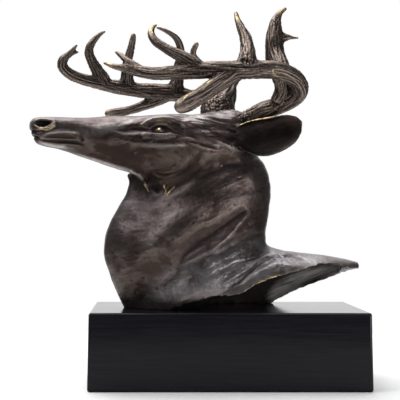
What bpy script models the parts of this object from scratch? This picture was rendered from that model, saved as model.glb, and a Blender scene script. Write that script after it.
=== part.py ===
"""A stag's head and neck, cast in bronze with a torn lower edge, standing on a black block."""

import math

import bmesh
import bpy
import numpy as np
from mathutils import Vector
from mathutils.bvhtree import BVHTree

# The block, in metres. It is a little longer at the foot than at the top.
PLINTH_LENGTH = 0.268
PLINTH_DEPTH = 0.140
PLINTH_HEIGHT = 0.074
PLINTH_BATTER = 0.0016
PLINTH_EDGE = 0.0022

# The bronze stands this high over the block, with this gap under it.
STAG_HEIGHT = 0.2925
SEAT_GAP = 0.0003

# The figure is drawn in units of its own height: 292.5 of them reach the top tine.
UNIT = STAG_HEIGHT / 292.5

# Points of the figure are (across, up, depth) units, from the middle of the block's top.
# Across and up are read off a side elevation, as seen from EYE, and a point at some
# depth lies on the line of sight through its place in the elevation.
EYE_ACROSS = -75
EYE_UP = 85
EYE_DISTANCE = 1031

# The head turns this far towards the viewer, about the upright line through the poll.
HEAD_TURN = math.radians(15)
POLL_ACROSS = 10

# Fineness of the fused solid, and how many triangles it keeps.
VOXEL = 1.5
BUST_TRIANGLES = 9300

# Neck sections from the foot up: front (across, up), back (across, up), half width and
# how far the throat narrows.
NECK = [
    (-96, -14, 40, -14, 43, 0),
    (-101, 0, 45, 0, 47, 0),
    (-113, 26, 49, 24, 51, 0),
    (-120, 49, 45, 45, 53, 0),
    (-121, 65, 40.5, 66, 52, 0),
    (-116.5, 81, 41.5, 82, 50, 0.05),
    (-108.5, 97, 44, 98, 47.5, 0.15),
    (-99.5, 112, 45.5, 114, 45, 0.3),
    (-96, 125, 44, 130, 43, 0.45),
    (-97, 134, 39.5, 142, 40, 0.6),
    (-68, 146, 30.5, 153, 37, 0.6),
    (-38, 160, 18, 166, 33, 0.4),
    (-22, 174, 8, 178, 24, 0.3),
]

# Withers sections from inside the neck back to the tip: across, ridge, foot, half width.
WITHERS = [
    (-40, 36, -54, 50),
    (-14, 48, -52, 55),
    (14, 55, -50, 58),
    (40, 60.5, -42, 57),
    (62, 56, -12, 51),
    (84, 53.5, 8, 41),
    (104, 51, 22, 29),
    (121, 48, 31, 17),
    (133, 44.5, 37.5, 8),
]

# The torn edge, as it shows in the elevation: across and up of its near side, then of its
# far side, and how far both are from the middle plane.
TORN_EDGE = [
    (-110, -45, -110, -80, 50),
    (-60, -8, -60, -46, 50),
    (-42, 1.5, -42, -37, 51),
    (-28, 5.6, -28, -30, 53),
    (-12, 10.5, -12, -22, 54),
    (3, 11.3, 2, -15, 55),
    (17, 14, 15, -9, 55),
    (27, 20, 25, -4.5, 54),
    (41, 26.8, 37, -1, 53),
    (57, 31.4, 50, 6.2, 50),
    (74, 36, 64, 12.9, 45),
    (83, 38.3, 74, 17.6, 40),
    (97, 43, 90, 23.4, 30),
    (111, 42.5, 107, 30, 20),
    (119, 38.6, 119, 35, 14),
    (130, 38.6, 130, 38, 7),
    (142, 38.6, 142, 38, 5),
]

# Sections of the hollow under the withers: across, roof, foot, half width.
HOLLOW = [
    (-26, 24, -62, 36),
    (-4, 42, -60, 47),
    (26, 50.5, -52, 52),
    (54, 51, -22, 48.5),
    (80, 49, 4, 38),
    (100, 46.5, 20.5, 26.5),
    (115, 44, 29.5, 13),
]

# Head sections from the nose back: across, top, then (half width, up) of the brow line,
# of the widest line and of the jaw line, then the underside.
HEAD = [
    (-195, 185, 4.5, 184.4, 6, 181.5, 4.5, 178.5, 177.8),
    (-193, 188, 8, 186.8, 10.5, 182, 8, 175.5, 173.2),
    (-190.5, 189.3, 10.5, 187.4, 13, 181.5, 10.5, 171, 167.6),
    (-187, 190, 12.5, 187.7, 15, 180.5, 11.5, 167, 162.8),
    (-181, 190.2, 13.5, 187.4, 16.5, 179, 12.5, 164.8, 160.3),
    (-170, 190, 13.5, 186.8, 17.8, 176.5, 13, 163.3, 158.7),
    (-158, 189.7, 13, 186.3, 18, 174.5, 12.5, 160.5, 155.3),
    (-148, 189.4, 12.5, 186, 18, 173.5, 12, 158, 151.6),
    (-128, 189.9, 13.5, 186, 20.5, 170.5, 12.5, 153, 144.6),
    (-108, 190.7, 17, 186.5, 25.5, 167, 14, 148, 138),
    (-92, 190.4, 22, 186.5, 31, 165, 17, 144, 132.6),
    (-75, 191.2, 27, 187.5, 36.5, 163.5, 22, 139, 122),
    (-57, 191.8, 30, 188, 39.5, 163, 28, 136, 116),
    (-37, 191.2, 29.5, 187, 39, 163, 32, 137, 116),
    (-17, 193.7, 29, 188, 37.5, 166, 33, 142, 124),
    (3, 197, 28, 190, 35.5, 172, 32, 150, 138),
    (17, 193, 21, 187, 30, 170, 25, 156, 148),
    (27, 183, 11, 180, 16, 170, 12, 161, 157),
]

# Near ear sections from the root to the tip: across, upper edge, lower edge,
# depth of the edges and how far the cup goes back from them.
EAR = [
    (2, 176, 166, -33, 8),
    (8, 179.5, 162.5, -37, 10),
    (16, 183.4, 158, -42, 13),
    (26, 187, 152.2, -47, 15),
    (38, 189.2, 150, -51, 15),
    (50, 191.4, 152, -55, 13),
    (62, 192.8, 157.5, -58, 10),
    (71.5, 191.2, 164.5, -60, 7),
    (77.5, 186, 174, -61, 4),
]
EAR_SHEET = 3.4

# The antlers: runs of (across, up, depth, radius) from root to tip.
NEAR_ANTLER = {
    "beam": [
        (14, 182, -15, 11),
        (24, 187, -23, 10.5),
        (33, 192, -30, 10.5),
        (41, 197, -37, 9.6),
        (52, 201, -44, 9),
        (63, 206, -52, 9),
        (72, 212, -60, 8.8),
        (74.8, 220, -70, 8.8),
        (71.2, 227.5, -78, 8.7),
        (63, 233, -84, 8.7),
        (52, 236.5, -88, 8.9),
        (37, 237.5, -90, 9.2),
        (13, 237, -93, 9.2),
        (-15, 237, -93, 8.7),
        (-45, 235, -90, 7.4),
        (-70, 233.5, -85, 6.4),
        (-88, 236.3, -80, 5.8),
        (-99, 238.8, -77, 4.4),
        (-111, 240.5, -74, 3),
        (-120.5, 244, -72, 1.8),
    ],
    "upper_fork": [
        (-86, 238, -80, 5.2),
        (-97, 245.5, -76, 4),
        (-104, 251.5, -72, 2.9),
        (-109, 255, -70, 1.8),
    ],
    "front_tine": [
        (-27, 241, -92, 7.2),
        (-39.5, 248.5, -91, 6.4),
        (-50.8, 254, -89, 5.5),
        (-62, 260.5, -86, 4.8),
        (-70.3, 266.5, -83, 4.4),
        (-74, 273.5, -79, 3.8),
        (-72, 279.8, -76, 2.6),
        (-69, 282, -74, 1.7),
    ],
    "middle_tine": [
        (21.5, 243, -91, 10.2),
        (22.5, 252, -86, 8.5),
        (22, 261, -80, 6.8),
        (20.3, 270, -74, 6),
        (16, 279, -69, 4.5),
        (12.6, 287, -65, 3.2),
        (10.8, 293.6, -62, 2.5),
    ],
    "back_tine": [
        (52, 205, -52, 7.5),
        (58, 216, -56, 8.5),
        (57, 227, -60, 8.9),
        (51.2, 241, -62, 9.6),
        (49.8, 255, -62, 9.6),
        (49.3, 267, -61, 8.8),
        (49.8, 278, -59, 7.2),
        (51.3, 287, -57, 5.1),
        (55, 294, -55, 3.2),
        (60.5, 298.4, -53, 2),
    ],
    "tine_web": [
        (60, 233, -84, 7),
        (56, 241, -76, 8.2),
        (51.5, 251, -66, 8.8),
        (50, 260, -62, 8.6),
    ],
    "spur": [
        (54, 269, -60, 6.5),
        (61, 269.6, -61, 4),
        (67, 269.4, -62, 2.2),
        (73, 269.2, -63, 1.4),
    ],
    "brow_tine": [
        (8, 233, -93, 9),
        (-3, 226, -97, 8.8),
        (-15, 218, -101, 8.3),
        (-26, 210.3, -105, 8.2),
        (-36.5, 204, -108, 8.5),
        (-43.5, 200.8, -110, 7.8),
    ],
}
FAR_ANTLER = {
    "beam": [
        (-7, 182, 12, 14.5),
        (-7, 191, 18, 16.5),
        (-7, 198.5, 23, 17.5),
        (-4.5, 204.5, 27, 15.3),
        (-0.6, 210, 32, 12.4),
        (1.4, 215, 37, 10.4),
        (2.4, 221, 43, 9.2),
        (7.4, 230, 53, 8.3),
        (14.6, 236, 64, 7.9),
        (10, 235.5, 76, 7.5),
        (-1, 227, 83, 7.4),
        (-12, 218, 86, 7.4),
        (-30, 210.3, 88, 7),
        (-42, 212, 88, 7.4),
        (-60, 214.5, 87, 8.2),
        (-85, 216.8, 85, 7.4),
        (-105, 219.4, 82, 7),
        (-125, 223.4, 78, 6.2),
        (-142.5, 227.8, 75, 5.7),
        (-155, 233, 71, 5.5),
        (-162.3, 240.3, 67, 5.3),
        (-161.8, 247, 64, 4.8),
        (-157, 252, 61, 3.5),
        (-152.3, 257, 59, 2.5),
        (-148.5, 261.5, 57, 1.6),
    ],
    "beam_fork": [
        (-157, 250.5, 62, 3.2),
        (-152, 253.3, 61, 2.2),
        (-147.2, 255, 60, 1.5),
    ],
    "front_tine": [
        (-121.5, 226, 79, 8),
        (-128, 237, 76, 6.2),
        (-133, 246, 73, 5.1),
        (-136, 254, 70, 4.7),
        (-134.8, 261, 67, 4.1),
        (-130, 267.7, 65, 3.2),
        (-125, 272.7, 63, 2.4),
        (-120.5, 275.3, 61, 1.6),
    ],
    "second_tine": [
        (-98, 225, 83, 7.2),
        (-98, 235, 80, 5.8),
        (-98, 243, 77, 4.8),
        (-96, 251, 75, 4.4),
        (-93.8, 260, 73, 4),
        (-92, 268, 71, 3.3),
        (-91.6, 271.4, 70, 2.8),
    ],
    "third_tine": [
        (-50, 217, 87, 8.4),
        (-47.5, 228, 84, 6.2),
        (-46.5, 240, 81, 5.2),
        (-44.3, 251, 78, 4.5),
        (-44.8, 260, 76, 4),
        (-48.5, 268.2, 73, 3.4),
        (-55, 273.8, 70, 2.6),
        (-62, 277.3, 68, 2),
        (-68, 279.5, 66, 1.5),
    ],
    "small_tine": [
        (-2, 227, 82, 5.5),
        (-17, 237, 79, 4.6),
        (-28, 246, 76, 3.8),
        (-32, 254, 73, 3.2),
        (-28.6, 262.7, 70, 2.8),
    ],
    "brow_tine": [
        (-57, 213.5, 88, 8),
        (-70, 206.8, 92, 6.8),
        (-82, 201.3, 95, 5.2),
        (-95, 197, 98, 4.6),
        (-107, 194.4, 100, 4.9),
        (-116.3, 193.6, 101, 4.3),
    ],
}

# Strokes of the modelling tool on the near side of the head, mirrored to the far side:
# points (across, up) of the elevation, reach, height (below 0 takes clay away).
HEAD_FORMS = {
    "nostril": ([(-189, 184.4), (-183, 184.4), (-175, 184.6)], 4.8, -3.6),
    "mouth": ([(-190, 168.8), (-178, 166), (-160, 165), (-146, 163.6), (-141, 161.5)], 2.8, -1.6),
    "upper lip": ([(-183, 171.5), (-177, 174), (-165, 175.6), (-153, 175), (-145, 173)], 4, 1),
    "cheek bone": (
        [(-118, 171), (-104, 168), (-92, 165), (-81, 163.6), (-72, 162), (-58, 162), (-38, 162)],
        8,
        1.5,
    ),
    "cheek hollow": ([(-130, 160), (-104, 153), (-82, 146)], 12, -1.8),
    "jaw edge": ([(-148, 153), (-125, 146), (-105, 139.5), (-93, 136.5), (-85, 132)], 4.5, 1.3),
    "jaw angle": ([(-66, 117), (-50, 120), (-38, 130), (-30, 143), (-24, 155)], 11, -2),
    "temple": ([(-44, 178), (-26, 180), (-8, 181)], 8, -2),
    "eye socket": ([(-77, 178.6), (-66, 178), (-53, 177)], 8.5, -3.8),
    "tear groove": ([(-112, 177.5), (-94, 177.3), (-76, 178)], 6, -2.6),
    "eyeball": ([(-66.5, 177.6), (-63, 177.4)], 5, 2.8),
    "brow ridge": ([(-84, 182), (-73, 186.8), (-61, 188.5), (-52, 187), (-42, 183)], 6, 3),
    "under the eye": ([(-88, 170), (-74, 171), (-62, 170.6), (-48, 172)], 6, 1.4),
    "nose bridge": ([(-150, 186), (-120, 186)], 9, -0.7),
}

# The same on the neck and the withers.
NECK_FORMS = {
    "throat cord": ([(-94, 136), (-88.5, 133.6), (-84, 130), (-80, 124), (-76, 115)], 4.4, 2.2),
    "throat hollow": ([(-74.5, 132), (-71, 124), (-67, 115)], 7.5, -2.8),
    "neck bulge": ([(-16, 106), (-41, 88), (-68, 64), (-88, 46)], 24, 4.6),
    "nape furrow": ([(20, 98), (-9, 76), (-36, 57), (-50, 36)], 15, -4.2),
    "nape cord": ([(26, 95), (8, 78), (-4, 65), (-16, 54)], 9, 2),
    "shoulder edge": ([(42, 74), (22, 69), (2, 59), (-20, 49), (-46, 35), (-64, 20)], 9, -2.2),
    "shoulder": ([(74, 40), (46, 40), (18, 32), (-8, 23), (-32, 12), (-52, 2)], 26, 4.5),
    "shoulder furrow": ([(79, 48), (57, 50), (40, 42), (28, 36), (11, 23), (3, 21)], 6, -2.2),
    "shoulder fold": ([(50, 52), (38, 47), (27, 41), (14, 34), (5, 29), (-3, 23)], 6, 2),
}


def block_point(across, up, depth):
    """A place in metres from units off the middle of the block's top."""
    return Vector((across, depth, up)) * UNIT + Vector((0, 0, PLINTH_HEIGHT))


def sight(across, up, depth):
    """The place at this depth, in units, that EYE sees over (across, up) of the elevation."""
    reach = 1 + depth / EYE_DISTANCE
    return EYE_ACROSS + (across - EYE_ACROSS) * reach, depth, EYE_UP + (up - EYE_UP) * reach


def elevation(points):
    """Where EYE sees points, given in units: their (across, up)."""
    reach = 1 + points[:, 1] / EYE_DISTANCE
    return np.column_stack(
        (
            EYE_ACROSS + (points[:, 0] - EYE_ACROSS) / reach,
            EYE_UP + (points[:, 2] - EYE_UP) / reach,
        )
    )


def smooth_run(rows, per_span):
    """Rows of numbers on a Catmull-Rom curve through the given rows."""
    rows = np.array(rows, float)
    ends = np.vstack((2 * rows[0] - rows[1], rows, 2 * rows[-1] - rows[-2]))
    t = np.linspace(0, 1, per_span, endpoint=False)[:, None]
    run = []
    for a, b, c, d in zip(ends, ends[1:], ends[2:], ends[3:]):
        run.extend(
            0.5 * (2 * b + (c - a) * t + (2 * a - 5 * b + 4 * c - d) * t**2
                   + (3 * b - a - 3 * c + d) * t**3)
        )
    return np.array([*run, rows[-1]])


def material(name, colour, roughness, metallic):
    """A plain Principled material."""
    made = bpy.data.materials.new(name)
    made.use_nodes = True
    shader = made.node_tree.nodes["Principled BSDF"]
    shader.inputs["Base Color"].default_value = (*colour, 1)
    shader.inputs["Roughness"].default_value = roughness
    shader.inputs["Metallic"].default_value = metallic
    return made


def link(name, mesh):
    """An object for the mesh, in the model's collection."""
    made = bpy.data.objects.new(name, mesh)
    model.objects.link(made)
    return made


def loft(name, rings):
    """A closed solid through rings of places, all with the same number of them."""
    bm = bmesh.new()
    loops = [[bm.verts.new(place) for place in ring] for ring in rings]
    for lower, upper in zip(loops, loops[1:]):
        for i, corner in enumerate(lower):
            bm.faces.new((lower[i - 1], corner, upper[i], upper[i - 1]))
    bm.faces.new(loops[0])
    bm.faces.new(loops[-1])
    bmesh.ops.recalc_face_normals(bm, faces=bm.faces)
    mesh = bpy.data.meshes.new(name)
    bm.to_mesh(mesh)
    bm.free()
    return link(name, mesh)


def evaluated_mesh(obj):
    """The object's mesh with its modifiers or its bevel in it."""
    graph = bpy.context.evaluated_depsgraph_get()
    return bpy.data.meshes.new_from_object(obj.evaluated_get(graph))


def drop(obj):
    """Removes a helper that has done its work."""
    bpy.data.objects.remove(obj)


def oval_ring(centre, half_height, half_width, lift, sharpness, count=40):
    """Units of an upright oval across the block: blunt below, and pointed above by sharpness."""
    ring = []
    for i in range(count):
        angle = 2 * math.pi * i / count
        side, rise = math.sin(angle), math.cos(angle)
        waist = 1 - sharpness * max(rise, 0) ** 2
        ring.append(block_point(centre, lift + half_height * rise, half_width * side * waist))
    return ring


def neck_solid():
    """The neck, from below the block's top to inside the skull."""
    rings = []
    for front_a, front_u, back_a, back_u, half_width, throat in smooth_run(NECK, 4):
        ring = []
        for i in range(48):
            angle = 2 * math.pi * i / 48
            along = math.cos(angle)
            pinch = 0.1 * along + 0.1 * along**2 + throat * max(along, 0) ** 2
            across = (front_a + back_a + (front_a - back_a) * along) / 2
            up = (front_u + back_u + (front_u - back_u) * along) / 2
            ring.append(block_point(across, up, half_width * math.sin(angle) * (1 - pinch)))
        rings.append(ring)
    return loft("neck", rings)


def withers_solid():
    """The stub of the back, running out to its tip."""
    rings = [
        oval_ring(across, (ridge - foot) / 2, half_width, (ridge + foot) / 2, 0.28)
        for across, ridge, foot, half_width in smooth_run(WITHERS, 4)
    ]
    return loft("withers", rings)


def head_place(across, up, aside):
    """A place on a head section: aside is the distance off the head's turned middle plane."""
    depth = (across - POLL_ACROSS) * math.tan(HEAD_TURN)
    x, y, z = sight(across, up, depth)
    return block_point(x + aside * math.sin(HEAD_TURN), z, y - aside * math.cos(HEAD_TURN))


def head_solid():
    """The head, from the nose to the back of the skull."""
    rings = []
    for station in smooth_run(HEAD, 4):
        across, top, brow_w, brow_u, wide_w, wide_u, jaw_w, jaw_u, under = station
        half = [(0, top), (brow_w, brow_u), (wide_w, wide_u), (jaw_w, jaw_u), (0, under)]
        outline = half + [(-w, u) for w, u in half[-2:0:-1]]
        closed = smooth_run(outline[-2:] + outline + outline[:2], 5)[10:-10][:40]
        rings.append([head_place(across, up, aside) for aside, up in closed])
    return loft("head", rings)


def mirrored(points):
    """Points, in units, carried across the head's turned middle plane."""
    normal = np.array((math.sin(HEAD_TURN), -math.cos(HEAD_TURN), 0))
    off = (points - (POLL_ACROSS, 0, 0)) @ normal
    return points - 2 * off[:, None] * normal


def ear_rings():
    """The near ear's crescent sections, as arrays of units."""
    rings = []
    sweep = np.radians(np.linspace(90, -90, 13))
    for across, upper, lower, edge_depth, cup in smooth_run(EAR, 4):
        middle, half = (upper + lower) / 2, (upper - lower) / 2
        back = [(middle + half * math.sin(a), edge_depth + cup * math.cos(a)) for a in sweep]
        inner_half = max(half - EAR_SHEET * 0.5, half * 0.6)
        inner_cup = cup - EAR_SHEET
        inside = [
            (middle + inner_half * math.sin(a), edge_depth - 0.6 + inner_cup * math.cos(a))
            for a in sweep[::-1]
        ]
        rings.append(np.array([sight(across, up, depth) for up, depth in back + inside]))
    return rings


def ear_solids():
    """Both ears: leaf-shaped cups, open towards their own side."""
    near = ear_rings()
    return [
        loft(name, [[block_point(x, z, y) for x, y, z in ring] for ring in rings])
        for name, rings in (("near_ear", near), ("far_ear", [mirrored(r) for r in near]))
    ]


def horn_run(controls, per_span=5):
    """Points (x, y, z, radius), in units, along one run of an antler."""
    rows = []
    for across, up, depth, radius in controls:
        rows.append((*sight(across, up, depth), radius * (1 + depth / EYE_DISTANCE)))
    return smooth_run(rows, per_span)


def horn_solid(name, controls):
    """One run of an antler as a tapered tube with a rounded tip."""
    run = list(horn_run(controls))
    tip, heading = run[-1], run[-1][:3] - run[-2][:3]
    heading = heading / np.linalg.norm(heading)
    for angle in map(math.radians, (30, 60, 80)):
        ahead = tip[:3] + heading * tip[3] * math.sin(angle)
        run.append((*ahead, tip[3] * math.cos(angle)))
    curve = bpy.data.curves.new(name, "CURVE")
    curve.dimensions = "3D"
    curve.bevel_depth = UNIT
    curve.bevel_resolution = 4
    curve.use_fill_caps = True
    line = curve.splines.new("POLY")
    line.points.add(len(run) - 1)
    for point, (x, y, z, radius) in zip(line.points, run):
        point.co = (*block_point(x, z, y), 1)
        point.radius = radius
    tube = link(name + "_line", curve)
    mesh = evaluated_mesh(tube)
    drop(tube)
    bm = bmesh.new()
    bm.from_mesh(mesh)
    bmesh.ops.remove_doubles(bm, verts=bm.verts, dist=0.00001)
    bm.to_mesh(mesh)
    bm.free()
    return link(name, mesh)


def seam_share(points, pieces, start, end):
    """1 where two of the pieces are closer than start, 0 from end on, for each point."""
    reach = []
    for piece in pieces:
        mesh = piece.data
        tree = BVHTree.FromPolygons(
            [v.co for v in mesh.vertices], [p.vertices for p in mesh.polygons]
        )
        reach.append([tree.find_nearest(block_point(x, z, y))[3] for x, y, z in points])
    second = np.sort(np.array(reach), axis=0)[1] / UNIT
    return np.clip((end - second) / (end - start), 0, 1)


def fused(name, pieces, voxel):
    """One skin round all the pieces."""
    bm = bmesh.new()
    for piece in pieces:
        bm.from_mesh(piece.data)
    mesh = bpy.data.meshes.new(name)
    bm.to_mesh(mesh)
    bm.free()
    whole = link(name, mesh)
    remesh = whole.modifiers.new("skin", "REMESH")
    remesh.mode = "VOXEL"
    remesh.voxel_size = voxel * UNIT
    apply_modifiers(whole)
    return whole


def apply_modifiers(obj):
    """Makes the evaluated mesh the object's own."""
    mesh = evaluated_mesh(obj)
    obj.modifiers.clear()
    obj.data = mesh


def mesh_arrays(mesh):
    """Its points in units, its edges and its normals."""
    count = len(mesh.vertices)
    points, normals = np.empty(count * 3), np.empty(count * 3)
    mesh.vertices.foreach_get("co", points)
    mesh.vertex_normals.foreach_get("vector", normals)
    edges = np.empty(len(mesh.edges) * 2, int)
    mesh.edges.foreach_get("vertices", edges)
    base = np.array((0, 0, PLINTH_HEIGHT))
    return (points.reshape(-1, 3) - base) / UNIT, edges.reshape(-1, 2), normals.reshape(-1, 3)


def store_points(mesh, points):
    """Puts points, in units, back into the mesh."""
    base = np.array((0, 0, PLINTH_HEIGHT))
    mesh.vertices.foreach_set("co", (points * UNIT + base).ravel())
    mesh.update()


def relaxed(points, edges, share, rounds):
    """Points drawn towards the mean of their neighbours, by a share that may vary."""
    count = len(points)
    ends = np.concatenate((edges, edges[:, ::-1]))
    valence = np.bincount(ends[:, 0], minlength=count)[:, None]
    for _ in range(rounds):
        total = np.column_stack(
            [np.bincount(ends[:, 0], points[ends[:, 1], k], count) for k in range(3)]
        )
        points = points + (total / valence - points) * share
    return points


def stroke_share(places, path, reach):
    """1 on a smooth line through the path, down to 0 at its reach, fading towards its ends."""
    line = smooth_run(path, 6)
    share = np.zeros(len(places))
    for k, (a, b) in enumerate(zip(line, line[1:])):
        run = b - a
        t = np.clip((places - a) @ run / (run @ run), 0, 1)
        away = np.linalg.norm(places - a - t[:, None] * run, axis=1)
        fade = 0.25 + 0.75 * np.sin(np.pi * (k + t) / (len(line) - 1)) ** 0.6
        share = np.maximum(share, fade - away / reach)
    return share


def stroked(places, strokes):
    """How far the strokes push the surface out at each place of the elevation."""
    push = np.zeros(len(places))
    for path, reach, height in strokes.values():
        share = stroke_share(places, path, reach)
        push += height * share**2 * (3 - 2 * share)
    return push


def horn_share(points):
    """1 on the antlers, 0 on the body, by distance from the antlers' runs."""
    closest = np.full(len(points), np.inf)
    for antler in (NEAR_ANTLER, FAR_ANTLER):
        for controls in antler.values():
            for x, y, z, radius in horn_run(controls, 3):
                away = np.linalg.norm(points - (x, y, z), axis=1)
                closest = np.minimum(closest, away / (radius + 1))
    return np.clip((1.6 - closest) / 0.3, 0, 1)


def modelled(points, normals):
    """The points after the strokes on both sides of the head and the neck."""
    across_plane = np.array((math.sin(HEAD_TURN), -math.cos(HEAD_TURN), 0))
    near_side = (points - (POLL_ACROSS, 0, 0)) @ across_plane > 0
    near_head = np.where(near_side[:, None], points, mirrored(points))
    near_neck = points * (1, -1, 1)
    near_neck[points[:, 1] < 0] = points[points[:, 1] < 0]
    facing_head = np.clip(np.abs(normals @ across_plane) * 1.6, 0, 1)
    facing_neck = np.clip(np.abs(normals[:, 1]) * 1.6, 0, 1)
    push = stroked(elevation(near_head), HEAD_FORMS) * facing_head
    push += stroked(elevation(near_neck), NECK_FORMS) * facing_neck
    return points + normals * (push * (1 - horn_share(points)))[:, None]


def cut(obj, cutter):
    """Takes the cutter away from the object."""
    boolean = obj.modifiers.new("cut", "BOOLEAN")
    boolean.operation = "DIFFERENCE"
    boolean.solver = "EXACT"
    boolean.object = cutter
    apply_modifiers(obj)
    drop(cutter)


def torn_edge_cutter():
    """Everything under the torn edge, ruled from its near side to its far side and beyond."""
    rings = []
    for near_a, near_u, far_a, far_u, depth in smooth_run(TORN_EDGE, 3):
        near = np.array(sight(near_a, near_u, -depth))
        far = np.array(sight(far_a, far_u, depth))
        slope = np.clip((far[2] - near[2]) / (2 * depth), -0.5, 0.1)
        beyond = np.array((0, 1, slope)) * (110 - depth)
        places = [near - beyond, near, near + (0, 9, 0.8), far, far + beyond]
        rings.append(
            [block_point(x, z, y) for x, y, z in places]
            + [block_point(x, z - 200, y) for x, y, z in reversed(places)]
        )
    return loft("torn_edge", rings)


def hollow_cutter():
    """The inside of the casting under the withers."""
    rings = [
        oval_ring(across, (roof - foot) / 2, half_width, (roof + foot) / 2, 0.28, 28)
        for across, roof, foot, half_width in smooth_run(HOLLOW, 3)
    ]
    return loft("hollow", rings)


def thinned(obj, triangles):
    """The same skin with about this many triangles, most of them where it bends."""
    obj.data.calc_loop_triangles()
    decimate = obj.modifiers.new("thin", "DECIMATE")
    decimate.ratio = triangles / len(obj.data.loop_triangles)
    decimate.use_collapse_triangulate = True
    apply_modifiers(obj)


def cut_flat(obj, height):
    """Cuts the solid off flat below this height and closes it there."""
    bm = bmesh.new()
    bm.from_mesh(obj.data)
    made = bmesh.ops.bisect_plane(
        bm,
        geom=bm.verts[:] + bm.edges[:] + bm.faces[:],
        dist=0.00001,
        plane_co=(0, 0, height),
        plane_no=(0, 0, -1),
        clear_outer=True,
    )
    rim = [e for e in made["geom_cut"] if isinstance(e, bmesh.types.BMEdge)]
    bmesh.ops.holes_fill(bm, edges=rim, sides=0)
    bmesh.ops.remove_doubles(bm, verts=bm.verts, dist=0.00002)
    bmesh.ops.triangulate(bm, faces=bm.faces)
    bmesh.ops.recalc_face_normals(bm, faces=bm.faces)
    bm.to_mesh(obj.data)
    bm.free()


def stag_bust():
    """The bronze: head, neck, withers, ears and antlers as one casting."""
    body = [neck_solid(), withers_solid(), head_solid()]
    ears = ear_solids()
    horns = []
    for side, antler in (("near", NEAR_ANTLER), ("far", FAR_ANTLER)):
        horns += [horn_solid(f"{side}_{name}", run) for name, run in antler.items()]
    bust = fused("stag_bust", body + ears + horns, VOXEL)
    points, edges, normals = mesh_arrays(bust.data)
    on_body = 1 - horn_share(points)
    seam = seam_share(points, body, 3, 8) * on_body
    ear_seam = seam_share(points, body + ears, 0.5, 3.5) * on_body
    fork = seam_share(points, horns, 0.5, 3.5) * (1 - on_body)
    for piece in body + ears + horns:
        drop(piece)
    points = relaxed(points, edges, 0.5 * seam[:, None], 50)
    points = relaxed(points, edges, 0.5 * np.maximum(ear_seam, fork)[:, None], 14)
    points = relaxed(points, edges, 0.15 + 0.35 * on_body[:, None], 6)
    store_points(bust.data, points)
    points, edges, normals = mesh_arrays(bust.data)
    points = modelled(points + 0.3 * normals, normals)
    store_points(bust.data, relaxed(points, edges, 0.3, 2))
    thinned(bust, BUST_TRIANGLES)
    cut(bust, torn_edge_cutter())
    cut(bust, hollow_cutter())
    cut_flat(bust, PLINTH_HEIGHT + SEAT_GAP)
    bust.data.shade_smooth()
    bust.data.materials.append(material("bronze", (0.09, 0.07, 0.06), 0.38, 0.9))
    return bust


def plinth():
    """The block, with its edges rounded and its sides leaning in a little."""
    bpy.ops.mesh.primitive_cube_add(size=1, location=(0, 0, PLINTH_HEIGHT / 2))
    block = bpy.context.object
    block.name = "plinth"
    block.scale = (PLINTH_LENGTH, PLINTH_DEPTH, PLINTH_HEIGHT)
    bpy.ops.object.transform_apply(location=True, rotation=True, scale=True)
    for corner in block.data.vertices:
        if corner.co.z > PLINTH_HEIGHT / 2:
            corner.co.x -= math.copysign(PLINTH_BATTER, corner.co.x)
    edge = block.modifiers.new("edge", "BEVEL")
    edge.width = PLINTH_EDGE
    edge.segments = 3
    edge.limit_method = "ANGLE"
    block.data.materials.append(material("black block", (0.015, 0.014, 0.017), 0.3, 0.0))
    for collection in block.users_collection:
        collection.objects.unlink(block)
    model.objects.link(block)
    return block


for old in list(bpy.data.objects):
    bpy.data.objects.remove(old)
model = bpy.data.collections.new("stag head on a block")
bpy.context.scene.collection.children.link(model)
plinth()
stag_bust()
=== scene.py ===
"""A stag's head and neck in dark bronze, its lower edge torn, on a polished black block."""

import math

import bmesh
import bpy
import numpy as np
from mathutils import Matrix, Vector, kdtree, noise
from mathutils.bvhtree import BVHTree


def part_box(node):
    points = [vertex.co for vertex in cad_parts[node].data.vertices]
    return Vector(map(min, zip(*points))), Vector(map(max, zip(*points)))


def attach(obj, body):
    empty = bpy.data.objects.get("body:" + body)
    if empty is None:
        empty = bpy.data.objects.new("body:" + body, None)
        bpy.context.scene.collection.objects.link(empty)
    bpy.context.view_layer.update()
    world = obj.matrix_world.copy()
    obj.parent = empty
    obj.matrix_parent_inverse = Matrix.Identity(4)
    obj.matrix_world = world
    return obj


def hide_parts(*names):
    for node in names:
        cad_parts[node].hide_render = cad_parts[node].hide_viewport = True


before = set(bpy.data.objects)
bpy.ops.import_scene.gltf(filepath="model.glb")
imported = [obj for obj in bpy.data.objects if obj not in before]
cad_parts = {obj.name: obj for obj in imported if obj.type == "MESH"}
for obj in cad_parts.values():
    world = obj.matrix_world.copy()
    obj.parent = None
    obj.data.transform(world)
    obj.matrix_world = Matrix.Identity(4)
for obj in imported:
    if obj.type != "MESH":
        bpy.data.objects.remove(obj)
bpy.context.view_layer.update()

# The block's top, in metres.
PLINTH_HEIGHT = 0.074

# The bronze stands this high over the block, and its skin starts this far above it.
STAG_HEIGHT = 0.2925
SKIN_GAP = 0.00001

# The skin stays this far inside the box of the solid.
BOX_MARGIN = 0.00005

# The figure is drawn in units of its own height: 292.5 of them reach the top tine.
UNIT = STAG_HEIGHT / 292.5

# Points of the figure are (across, up, depth) units, from the middle of the block's top.
# Across and up are read off a side elevation, as seen from EYE, and a point at some
# depth lies on the line of sight through its place in the elevation.
EYE_ACROSS = -75
EYE_UP = 85
EYE_DISTANCE = 1031

# The camera stands at EYE and takes in this many units across, on a sensor this wide.
VIEW_WIDTH = 400
SENSOR = 36

# The head turns this far towards the viewer, about the upright line through the poll.
HEAD_TURN = math.radians(15)
POLL_ACROSS = 10

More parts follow.
